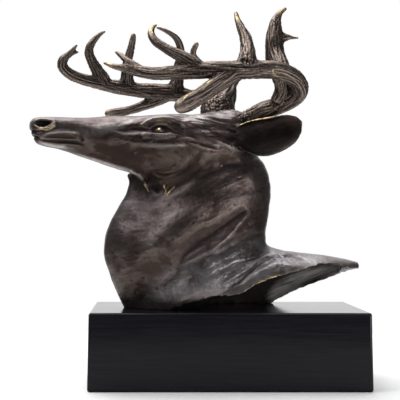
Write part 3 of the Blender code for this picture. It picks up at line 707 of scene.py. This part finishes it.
class Antlers:
    """The antlers' runs as places, so that a point of the skin can be told where it is on them."""

    def __init__(self):
        self.rows = []
        for antler in (NEAR_ANTLER, FAR_ANTLER):
            for name, controls in antler.items():
                run = horn_run(controls)
                places = run[:, :3]
                gaps = np.linalg.norm(np.diff(places, axis=0), axis=1)
                along = np.concatenate(([0], np.cumsum(gaps)))
                heading = np.gradient(places, axis=0)
                heading /= np.linalg.norm(heading, axis=1)[:, None]
                aside = np.cross(heading[0], (0, 0.3, 1))
                for k, place in enumerate(places):
                    aside = aside - heading[k] * (aside @ heading[k])
                    aside = aside / np.linalg.norm(aside)
                    from_root = along[k] if name == "beam" else 1000.0
                    here = (along[k], from_root, along[-1] - along[k])
                    self.rows.append((*place, run[k, 3], *aside, *np.cross(heading[k], aside), *here))
        self.rows = np.array(self.rows)
        self.tree = kdtree.KDTree(len(self.rows))
        for k, row in enumerate(self.rows):
            self.tree.insert(row[:3], k)
        self.tree.balance()

    def share(self, points):
        """1 on the antlers, 0 on the body."""
        closest = np.full(len(points), np.inf)
        for row in self.rows[::3]:
            away = np.linalg.norm(points - row[:3], axis=1)
            closest = np.minimum(closest, away / (row[3] + 1))
        return np.clip((1.6 - closest) / 0.3, 0, 1)

    def place(self, point):
        """(sideways, upwards, along, radius, from the root, from the tip) of a point, in units."""
        best, margin = None, np.inf
        for _, k, away in self.tree.find_n(Vector(point), 6):
            if away - self.rows[k, 3] < margin:
                best, margin = k, away - self.rows[k, 3]
        row = self.rows[best]
        off = np.asarray(point) - row[:3]
        return off @ row[4:7], off @ row[7:10], row[10], row[3], row[11], row[12]


def bark(antlers, points, share):
    """How far the antlers' ridges and pearls stand out at each point."""
    push = np.zeros(len(points))
    for i in np.flatnonzero(share > 0.02):
        aside, up, along, radius, from_root, from_tip = antlers.place(points[i])
        turn = Vector((aside, up, 0))
        turn = turn / max(turn.length, 0.01) * min(radius, 9)
        spot = Vector((turn.x * 0.5, turn.y * 0.5, along / 26))
        ridge = 1 - abs(noise.noise(spot)) * 2.8
        fine = 1 - abs(noise.noise(spot * 1.9 + Vector((7, 3, 1)))) * 2.4
        depth = 0.5 * min(radius / 5, 1.3) * min(from_tip / 5 + 0.25, 1)
        push[i] = depth * (ridge * 1.1 + fine * 0.5 - 0.7)
        if from_root < PEARL_REACH:
            cells = noise.voronoi(Vector(points[i]) / PEARL_SPACING)[0]
            pearl = max(0.75 - cells[0], 0) * 1.9 - 0.45
            close = min(max((PEARL_REACH - from_root) / 10, 0), 1)
            push[i] = push[i] * (1 - 0.6 * close) + pearl * close
    return push * share


def along_the_flow(places):
    """How far along the flow and across it each place of the elevation lies."""
    centres = np.array([place for place, _ in FLOWS])
    headings = np.array([np.array(way) / np.linalg.norm(way) for _, way in FLOWS])
    off = places[:, None] - centres[None]
    near = 1 / (np.sum(off**2, axis=2) + 60) ** 2
    way = near @ headings
    way /= np.linalg.norm(way, axis=1)[:, None]
    along = np.sum(places * way, axis=1)
    side = places[:, 1] * way[:, 0] - places[:, 0] * way[:, 1]
    return along, side


def casting(points, body):
    """The rough cast skin of the body: undulations and streaks along the flow, and dents."""
    places = elevation(near_side(points)[1])
    flow = along_the_flow(places)
    push = np.zeros(len(points))
    for i in np.flatnonzero(body > 0.02):
        along, side = flow[0][i], flow[1][i]
        x, y, z = points[i]
        swell = noise.noise(Vector((along / 30, side / 11, y / 25)))
        streak = noise.noise(Vector((along / 13, side / 2.6, y / 9)))
        lump = noise.noise(Vector((x, y, z)) / 9 + Vector((3, 1, 4)))
        dent = max(noise.noise(Vector((along / 5.5, side / 2.1, y / 5))) - 0.42, 0)
        hair = max(1 - math.hypot(places[i, 0] + 12, (places[i, 1] - 190) * 1.6) / 46, 0)
        low = max(1 - math.hypot(places[i, 0] - 30, (places[i, 1] - 42) * 1.4) / 80, 0)
        scale = 1 - 0.6 * max(1 - abs(places[i, 0] + 165) / 40, 0)
        streaks = (0.14 + 1.3 * hair + 0.35 * low) * streak
        push[i] = scale * (0.6 * swell + streaks + (0.2 + 0.5 * low) * lump - 1.1 * dent)
    return push * body


def cut(obj, cutter):
    """Takes the cutter away from the object, and gives the cutter's mesh."""
    apply_modifier(obj, "BOOLEAN", operation="DIFFERENCE", solver="EXACT", object=cutter)
    mesh = cutter.data
    bpy.data.objects.remove(cutter)
    return mesh


def torn_edge_cutter():
    """Everything under the torn edge, ruled from its near side to its far side and beyond."""
    rings = []
    for step, (near_a, near_u, far_a, far_u, depth) in enumerate(smooth_run(TORN_EDGE, 10)):
        rag = noise.noise(Vector((step / 3.1, 5, 1))) * 1.3
        rag = rag + noise.noise(Vector((step / 1.3, 2, 8))) * 0.7
        near = np.array(sight(near_a, near_u + rag, -depth))
        far = np.array(sight(far_a, far_u - rag, depth))
        slope = np.clip((far[2] - near[2]) / (2 * depth), -0.5, 0.1)
        beyond = np.array((0, 1, slope)) * (CUT_SIDE - depth)
        places = [near - beyond, near, near + (0, 9, 0.8), far, far + beyond]
        rings.append(
            [block_point(x, z, y) for x, y, z in places]
            + [block_point(x, z - CUT_DEPTH, y) for x, y, z in reversed(places)]
        )
    return loft("torn_edge", rings)


def hollow_cutter():
    """The inside of the casting under the withers, with its rough inner skin."""
    rings = []
    for across, roof, foot, half_width in smooth_run(HOLLOW, 12):
        ring = oval_ring(across, (roof - foot) / 2, half_width, (roof + foot) / 2, 0.28, 72)
        rough = []
        for place in ring:
            wave = noise.noise(Vector((place.x * 60, place.y * 60, place.z * 180)))
            wave = wave * 0.8 + noise.noise(place * 420) * 0.5
            centre = Vector((place.x, 0, PLINTH_HEIGHT + (roof + foot) / 2 * UNIT))
            rough.append(place + (place - centre).normalized() * wave * 0.001)
        rings.append(rough)
    return loft("hollow", rings)


def cut_flat(obj, height):
    """Cuts the solid off flat below this height and closes it there."""
    bm = bmesh.new()
    bm.from_mesh(obj.data)
    made = bmesh.ops.bisect_plane(
        bm,
        geom=bm.verts[:] + bm.edges[:] + bm.faces[:],
        dist=0.00001,
        plane_co=(0, 0, height),
        plane_no=(0, 0, -1),
        clear_outer=True,
    )
    rim = [e for e in made["geom_cut"] if isinstance(e, bmesh.types.BMEdge)]
    bmesh.ops.holes_fill(bm, edges=rim, sides=0)
    bmesh.ops.triangulate(bm, faces=bm.faces)
    bm.to_mesh(obj.data)
    bm.free()


def mended(mesh):
    """Takes slivers, doubled faces and stray bits off the mesh and closes what that opens."""
    mesh.validate()
    bm = bmesh.new()
    bm.from_mesh(mesh)
    bmesh.ops.dissolve_degenerate(bm, dist=0.00001, edges=bm.edges)
    for _ in range(3):
        crowded = [e for e in bm.edges if len(e.link_faces) > 2]
        close = {f for e in crowded for v in e.verts for f in v.link_faces}
        bmesh.ops.delete(bm, geom=list(close), context="FACES")
        rims = [e for e in bm.edges if len(e.link_faces) == 1]
        bmesh.ops.holes_fill(bm, edges=rims, sides=0)
        bmesh.ops.triangulate(bm, faces=bm.faces)
    left, main = set(bm.verts), set()
    while left:
        part, edge = set(), {left.pop()}
        while edge:
            part |= edge
            edge = {e.other_vert(v) for v in edge for e in v.link_edges} - part
        left -= part
        main = max(main, part, key=len)
    bmesh.ops.delete(bm, geom=[v for v in bm.verts if v not in main], context="VERTS")
    bmesh.ops.recalc_face_normals(bm, faces=bm.faces)
    bm.to_mesh(mesh)
    bm.free()


def form_copies(pieces):
    """Copies of the pieces' shapes, to measure from once the pieces are fused."""
    return [bpy.data.objects.new("form", piece.data.copy()) for piece in pieces]


def stag_bust():
    """The bronze, as one skin with its relief, and numbers on it for its patina and for its painted
    light and shade.
    """
    antlers = Antlers()
    body_parts = [neck_solid(), withers_solid(), head_solid()]
    ears = ear_solids()
    horns = []
    for side, antler in (("near", NEAR_ANTLER), ("far", FAR_ANTLER)):
        horns += [horn_solid(f"{side}_{name}", run) for name, run in antler.items()]
    body_forms, ear_forms, horn_forms = map(form_copies, (body_parts, ears, horns))
    bust = fused("bronze_stag", body_parts + ears + horns)
    points, edges, normals = mesh_arrays(bust.data)
    share = antlers.share(points)
    seam = seam_share(points, body_forms, 3, 8) * (1 - share)
    close = seam_share(points, body_forms + ear_forms, 0.5, 3.5) * (1 - share)
    on_horn = np.flatnonzero(share > 0)
    fork = seam_share(points[on_horn], horn_forms, 0.5, 3.5) * share[on_horn]
    close[on_horn] = np.maximum(close[on_horn], fork)
    for form in body_forms + ear_forms + horn_forms:
        bpy.data.objects.remove(form)
    points = relaxed(points, edges, 0.5 * seam[:, None], 90)
    points = relaxed(points, edges, 0.5 * close[:, None], 26)
    points = relaxed(points, edges, 0.2 + 0.3 * (1 - share[:, None]), 8)
    store_points(bust.data, points)
    points, edges, normals = mesh_arrays(bust.data)
    body = 1 - share
    points = modelled(points, normals, HEAD_FORMS, NECK_FORMS, {}, body)
    store_points(bust.data, relaxed(points, edges, 0.3, 4))
    points, edges, normals = mesh_arrays(bust.data)
    points = modelled(points, normals, HEAD_DETAILS, NECK_DETAILS, MUZZLE_DETAILS, body)
    points = points + normals * (bark(antlers, points, share) + casting(points, body))[:, None]
    store_points(bust.data, points)
    apply_modifier(
        bust,
        "DECIMATE",
        ratio=SKIN_TRIANGLES / (2 * len(bust.data.polygons)),
        use_collapse_triangulate=True,
    )
    cut(bust, torn_edge_cutter())
    inside = cut(bust, hollow_cutter())
    cut_flat(bust, PLINTH_HEIGHT + SKIN_GAP)
    mended(bust.data)
    bust.data.shade_smooth()
    low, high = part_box("stag_bust")
    places = np.array([v.co for v in bust.data.vertices])
    floor = (low.x + BOX_MARGIN, low.y + BOX_MARGIN, 0)
    places = np.clip(places, floor, np.array(high) - BOX_MARGIN)
    bust.data.vertices.foreach_set("co", places.ravel())
    bust.data.update()
    write_patina(bust.data, antlers, inside)
    return bust


def write_patina(mesh, antlers, inside):
    """Numbers on the mesh's points for its patina and its painted light and shade: relief, antler,
    hollow, metal bared by rubbing with painted glints, ridges of wear with painted highlights, a lit
    powdery shoulder, a shaded cheek and ear cups, and a lit far lip.
    """
    points, edges, normals = mesh_arrays(mesh)
    by_head, by_neck, across_plane = near_side(points)
    head_view, neck_view, view = map(elevation, (by_head, by_neck, points))
    numbers = {}
    for name, rounds in (("fine_relief", 4), ("broad_relief", 40)):
        off = points - relaxed(points, edges, 0.5, rounds)
        numbers[name] = np.einsum("ij,ij->i", off, normals)
    share = antlers.share(points)
    numbers["antler"] = share
    # The wall of the hollow, which the patina paints in shade.
    on_wall = (distances(points, inside) < ON_WALL).astype(float)
    numbers["hollow"] = relaxed(on_wall[:, None], edges, 0.4, 2)[:, 0]
    facing = np.clip(np.abs(normals @ across_plane) * 2, 0, 1) * (1 - share)
    near = ((points - (POLL_ACROSS, 0, 0)) @ across_plane > 0) | (points[:, 2] > 150)
    rubbed_and_glints = stroke_cover(head_view, RUBBED_AND_GLINTS) * facing * near
    # Ridges of wear, also painted highlights.
    worn_and_highlit = stroke_cover(head_view, WORN_AND_HIGHLIT) * (1 - share)
    numbers["worn_and_highlit"] = np.clip(worn_and_highlit * 1.5, 0, 1)
    # The shoulder, painted lighter: partly a powdery grey on the patina, partly painted light falling
    # on it.
    numbers["lit_dusty_shoulder"] = stroke_share(neck_view, *LIT_DUSTY_SHOULDER) * (1 - share)
    # The lower cheek, painted in shade.
    smooth = stroke_share(head_view, *SHADED_CHEEK)
    numbers["shaded_cheek"] = np.clip(smooth * 2, 0, 1) * (1 - share)
    numbers["flow_along"], numbers["flow_side"] = along_the_flow(neck_view)
    # How far each face turns up, used by the patina for painted shade on faces turned down and
    # painted light on faces turned up.
    numbers["upward"] = relaxed(normals, edges, 0.5, 6)[:, 2]
    # The ear's cup, where it faces out to its own side, painted in shade.
    cup = np.clip(stroke_share(head_view, *SHADED_EAR_CUP) * 5, 0, 1)
    cup = cup * (normals @ across_plane * np.sign(points @ across_plane) > 0.2)
    numbers["shaded_ear_cup"] = relaxed((cup * (1 - share))[:, None], edges, 0.4, 3)[:, 0]
    # The far lip of the hollow, painted as lit.
    lip = stroke_share(view, *LIT_FAR_LIP)
    numbers["lit_far_lip"] = np.clip(lip * 2, 0, 1) * (points[:, 1] > 0)
    on_near = share * (points[:, 1] < -45)
    rubbed_and_glints = np.maximum(rubbed_and_glints, stroke_cover(view, RUBBED_ANTLER) * on_near)
    numbers["rubbed_and_glints"] = np.clip(rubbed_and_glints * 1.6, 0, 1)
    for name, values in numbers.items():
        layer = mesh.attributes.new(name, "FLOAT", "POINT")
        layer.data.foreach_set("value", values.astype(np.float32))


def stroke_cover(places, strokes):
    """1 on any of the strokes, down to 0 at their reach, for each place."""
    cover = np.zeros(len(places))
    for path, reach in strokes.values():
        cover = np.maximum(cover, stroke_share(places, path, reach))
    return cover


class Socket:
    """A shader value that can be reckoned with like a number."""

    def __init__(self, shader, link):
        self.shader, self.link = shader, link

    def math(self, operation, *others, **settings):
        """This value and others through one Math node."""
        values = dict(enumerate((self, *others)))
        return self.shader.node("ShaderNodeMath", values, operation=operation, **settings)

    def __add__(self, other):
        return self.math("ADD", other)

    def __sub__(self, other):
        return self.math("SUBTRACT", other)

    def __rsub__(self, other):
        return self.shader.node("ShaderNodeMath", {0: other, 1: self}, operation="SUBTRACT")

    def __mul__(self, other):
        return self.math("MULTIPLY", other)

    __radd__, __rmul__ = __add__, __mul__

    def clamped(self, low, high):
        """0 at low, 1 at high, and straight between them."""
        values = {"Value": self, "From Min": low, "From Max": high}
        return self.shader.node("ShaderNodeMapRange", values, clamp=True)


class Shader:
    """One material's nodes, added one call at a time."""

    def __init__(self, name):
        self.material = bpy.data.materials.new(name)
        self.material.use_nodes = True
        self.tree = self.material.node_tree
        self.surface = self.tree.nodes["Principled BSDF"]

    def node(self, kind, sockets=None, output=0, **settings):
        """A node of this kind with its settings and then its sockets set, as a Socket."""
        made = self.tree.nodes.new(kind)
        for name, value in settings.items():
            setattr(made, name, value)
        for name, value in (sockets or {}).items():
            self.fill(made.inputs[name], value)
        return Socket(self, made.outputs[output])

    def fill(self, socket, value):
        """Links or sets one input."""
        if isinstance(value, Socket):
            self.tree.links.new(value.link, socket)
        else:
            socket.default_value = value

    def coordinates(self):
        """Object coordinates."""
        return self.node("ShaderNodeTexCoord", output="Object")

    def attribute(self, name):
        """A number stored on the mesh."""
        return self.node("ShaderNodeAttribute", output="Fac", attribute_name=name)

    def noise(self, where, scale, detail=3.0, roughness=0.55, stretch=(1, 1, 1)):
        """Noise from 0 to 1, stretched along the axes."""
        mapped = self.node("ShaderNodeMapping", {"Vector": where, "Scale": stretch})
        values = {"Vector": mapped, "Scale": scale, "Detail": detail, "Roughness": roughness}
        return self.node("ShaderNodeTexNoise", values)

    def mix(self, share, first, second):
        """Two colours mixed by a share."""
        made = self.tree.nodes.new("ShaderNodeMix")
        made.data_type = "RGBA"
        colours = [s for s in made.inputs if s.type == "RGBA"]
        self.fill(made.inputs["Factor"], share)
        for socket, value in zip(colours, (first, second)):
            self.fill(socket, value if isinstance(value, Socket) else (*value, 1))
        return Socket(self, next(s for s in made.outputs if s.type == "RGBA"))

    def finish(self, **sockets):
        """Fills the surface's sockets and gives the material."""
        for name, value in sockets.items():
            self.fill(self.surface.inputs[name.replace("_", " ")], value)
        return self.material


# Colours of the patina, and of painted light and shade: brass bared by rubbing and for painted
# glints, a powdery grey that is also painted light from above, a pale brown of wear and painted
# highlights, then painted shade and painted light for the inside of the casting.
BRASS = (0.72, 0.55, 0.30)
DUST_AND_TOP_LIGHT = (0.34, 0.325, 0.345)
WORN_HIGHLIGHT_BROWN = (0.50, 0.46, 0.44)
DARK_WALL = (0.028, 0.022, 0.019)
LIT_WALL = (0.66, 0.62, 0.61)


def bronze():
    """Dark brown patina over bronze: bared to brass by rubbing on ridges, black in hollows, tan on
    the antlers; with painted shade under down-turned faces, on the lower cheek, in the ear cups and
    inside the casting, and painted light on up-turned faces, on ridges of wear, on the far lip and as
    a glint on the eye.
    """
    s = Shader("bronze patina")
    where = s.coordinates()
    fine, broad = s.attribute("fine_relief"), s.attribute("broad_relief")
    antler, rubbed_and_glints, inside = s.attribute("antler"), s.attribute("rubbed_and_glints"), s.attribute("hollow")
    worn_and_highlit, upward = s.attribute("worn_and_highlit"), s.attribute("upward")
    ear, lip = s.attribute("shaded_ear_cup"), s.attribute("lit_far_lip")
    cloud = s.noise(where, 18, 3)
    tint = s.noise(where, 34, 4, 0.6)
    speck = s.noise(where, 300, 3)
    flow_values = {"X": s.attribute("flow_along"), "Y": s.attribute("flow_side"), "Z": upward * 4}
    flow = s.node("ShaderNodeCombineXYZ", flow_values)
    hair = s.noise(flow, 0.3, 3, 0.6, (0.2, 1, 0.5))
    sweep = s.noise(flow, 0.12, 3, 0.6, (0.35, 1, 0.5))
    grain = s.noise(where, 800, 2)
    dry = s.noise(where, 60, 5, 0.65)
    brown = s.mix(cloud.clamped(0.3, 0.7), (0.080, 0.050, 0.047), (0.122, 0.096, 0.099))
    brown = s.mix(tint.clamped(0.5, 0.75) * 0.5, brown, (0.080, 0.046, 0.037))
    brown = s.mix(sweep.clamped(0.42, 0.62) * 0.6, brown, (0.052, 0.030, 0.024))
    brown = s.mix(hair.clamped(0.5, 0.72) * 0.4, brown, (0.20, 0.175, 0.17))
    brown = s.mix(speck.clamped(0.56, 0.7) * 0.45, brown, (0.24, 0.21, 0.205))
    # Painted shade: faces turned down are darkened towards a deep brown.
    brown = s.mix(upward.clamped(-0.35, 0.5), (0.050, 0.033, 0.027), brown)
    # Painted light and a powdery grey: faces turned up and the shoulder are greyed lighter, broken up
    # by noise.
    dust_and_top_light = upward.clamped(0.15, 0.9) * 0.25 + s.attribute("lit_dusty_shoulder") * 1.2
    dust_and_top_light = dust_and_top_light.math("MINIMUM", 0.85) * dry.clamped(0.32, 0.62)
    brown = s.mix(dust_and_top_light, brown, DUST_AND_TOP_LIGHT)
    # Painted shade: the lower cheek, which faces down, is darkened to a deep red-brown.
    cheek = s.attribute("shaded_cheek")
    brown = s.mix(cheek * 0.85, brown, (0.036, 0.020, 0.016))
    ridge = (fine * 1.6 + broad * 0.25).clamped(0.05, 1.0)
    dip = (fine * -1.8 + broad * -0.45).clamped(0.05, 1.3)
    body = s.mix(ridge * 0.5, brown, (0.27, 0.235, 0.215))
    # Wear and painted highlights: the listed ridges, the side of the nose and the temple lightened to
    # a pale brown.
    body = s.mix(worn_and_highlit * dry.clamped(0.3, 0.6) * 0.8, body, WORN_HIGHLIGHT_BROWN)
    body = s.mix(dip * 0.85, body, (0.016, 0.012, 0.010))
    # Painted shade: the ear's cup is darkened almost to black.
    body = s.mix(ear * 0.85, body, (0.012, 0.008, 0.007))
    horn_ridge = (fine * 2.6 + broad * 0.3).clamped(0.15, 1.1)
    horn_dip = (fine * -3.0 + broad * -0.4).clamped(0.0, 1.0)
    horn = s.mix(cloud.clamped(0.35, 0.65), (0.060, 0.043, 0.036), (0.110, 0.086, 0.076))
    horn = s.mix(horn_ridge, horn, (0.30, 0.24, 0.20))
    horn = s.mix(horn_dip, horn, (0.014, 0.010, 0.008))
    colour = s.mix(antler, body, horn)
    # Brass where rubbing has bared the metal, with a painted glint on the eye and painted highlights
    # along the torn rim and the ear rim.
    bright = rubbed_and_glints * (ridge + 0.45) * speck.clamped(0.3, 0.55)
    bright = bright.math("MINIMUM", 1.0)
    colour = s.mix(bright, colour, BRASS)
    x = s.node("ShaderNodeSeparateXYZ", {"Vector": where}, output="X")
    z = s.node("ShaderNodeSeparateXYZ", {"Vector": where}, output="Z")
    turned = {"X": x * 0.9 + z * 0.4, "Y": x * -0.4 + z * 0.9, "Z": 0}
    slanted = s.node("ShaderNodeCombineXYZ", turned)
    streak = s.noise(slanted, 110, 4, 0.65, (0.25, 2.6, 1))
    # Painted shade and painted light inside the casting: near black, with a pale streaked band
    # painted as lit on the far lip.
    skin = s.mix(lip * streak.clamped(0.32, 0.56), DARK_WALL, LIT_WALL)
    colour = s.mix(inside, colour, skin)
    roughness = 0.34 + cloud * 0.12 + dip * 0.25 + antler * 0.08 - bright * 0.1 + inside * 0.2
    rough_cast = 0.4 + s.attribute("lit_dusty_shoulder") * 1.2
    height = grain * 0.05 + speck * rough_cast + dry * 1.2 + (1 - antler) * hair * 0.35
    bump = s.node("ShaderNodeBump", {"Strength": 0.6, "Distance": 0.001, "Height": height})
    metal = 0.9 - dip * 0.3 - inside * (0.3 + 0.4 * lip)
    return s.finish(Base_Color=colour, Roughness=roughness, Metallic=metal, Normal=bump)


def black_block():
    """Polished black stone with faint level streaks."""
    s = Shader("polished black block")
    where = s.coordinates()
    streak = s.noise(where, 60, 4, 0.6, (0.35, 1, 9))
    cloud = s.noise(where, 14, 3)
    speck = s.noise(where, 900, 2)
    colour = s.mix(streak.clamped(0.4, 0.7), (0.0085, 0.008, 0.0105), (0.0145, 0.0138, 0.0175))
    colour = s.mix(speck.clamped(0.6, 0.75) * 0.2, colour, (0.03, 0.03, 0.036))
    roughness = 0.07 + streak * 0.08 + cloud * 0.04
    height = streak + speck * 0.2
    bump = s.node("ShaderNodeBump", {"Strength": 0.06, "Distance": 0.0003, "Height": height})
    made = s.finish(Base_Color=colour, Roughness=roughness, Normal=bump)
    s.surface.inputs["Specular IOR Level"].default_value = 0.12
    return made


def floor_material():
    """Plain pale paper."""
    s = Shader("pale floor")
    grain = s.noise(s.coordinates(), 30, 2)
    colour = s.mix(grain * 0.3, (0.9, 0.9, 0.9), (0.86, 0.86, 0.86))
    return s.finish(Base_Color=colour, Roughness=0.9)


def studio():
    """A pale floor, soft light from above and the photograph's camera."""
    deselect()
    bpy.ops.mesh.primitive_circle_add(vertices=96, radius=0.5, fill_type="NGON")
    floor = bpy.context.object
    floor.name = "floor"
    floor.data.materials.append(floor_material())
    world = bpy.data.worlds.new("pale room")
    world.use_nodes = True
    nodes, links = world.node_tree.nodes, world.node_tree.links
    room = nodes["Background"]
    room.inputs["Color"].default_value = (0.93, 0.96, 1, 1)
    room.inputs["Strength"].default_value = 0.09
    seen = nodes.new("ShaderNodeBackground")
    seen.inputs["Color"].default_value = (1, 1, 1, 1)
    ray = nodes.new("ShaderNodeLightPath")
    mixed = nodes.new("ShaderNodeMixShader")
    links.new(ray.outputs["Is Camera Ray"], mixed.inputs[0])
    links.new(room.outputs[0], mixed.inputs[1])
    links.new(seen.outputs[0], mixed.inputs[2])
    links.new(mixed.outputs[0], nodes["World Output"].inputs["Surface"])
    bpy.context.scene.world = world
    sun = bpy.data.lights.new("overhead light", "SUN")
    sun.energy = 3.7
    sun.angle = math.radians(65)
    stand = placed("overhead light", sun)
    stand.rotation_euler = (math.radians(-14), math.radians(-12), 0)
    lamp("back panel", (0.0, 1.7, 0.5), (0, 0, 0.15), 2.2, 16)
    lamp("left softbox", (-1.0, -0.5, 1.1), (0, 0, 0.2), 0.6, 4.6)
    lamp("right softbox", (0.8, -0.8, 0.1), (0.1, 0, 0.08), 0.4, 3.6)
    camera = placed("camera", bpy.data.cameras.new("camera"))
    camera.location = (EYE_ACROSS * 0.001, -EYE_DISTANCE * 0.001, PLINTH_HEIGHT + EYE_UP * 0.001)
    camera.rotation_euler = (math.pi / 2, 0, 0)
    camera.data.sensor_width = SENSOR
    camera.data.lens = SENSOR * EYE_DISTANCE / VIEW_WIDTH
    camera.data.shift_x = 0.125
    camera.data.shift_y = 0.055
    bpy.context.scene.camera = camera
    bpy.context.scene.view_settings.view_transform = "Standard"


def lamp(name, place, target, size, power):
    """A square soft light at a place, aimed at a target."""
    light = bpy.data.lights.new(name, "AREA")
    light.size = size
    light.energy = power
    stand = placed(name, light)
    stand.location = place
    aim = Vector(target) - Vector(place)
    stand.rotation_euler = aim.to_track_quat("-Z", "Y").to_euler()


bust = stag_bust()
bust.data.materials.clear()
bust.data.materials.append(bronze())
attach(bust, "root")
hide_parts("stag_bust")

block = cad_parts["plinth"]
block.data.materials.clear()
block.data.materials.append(black_block())

studio()
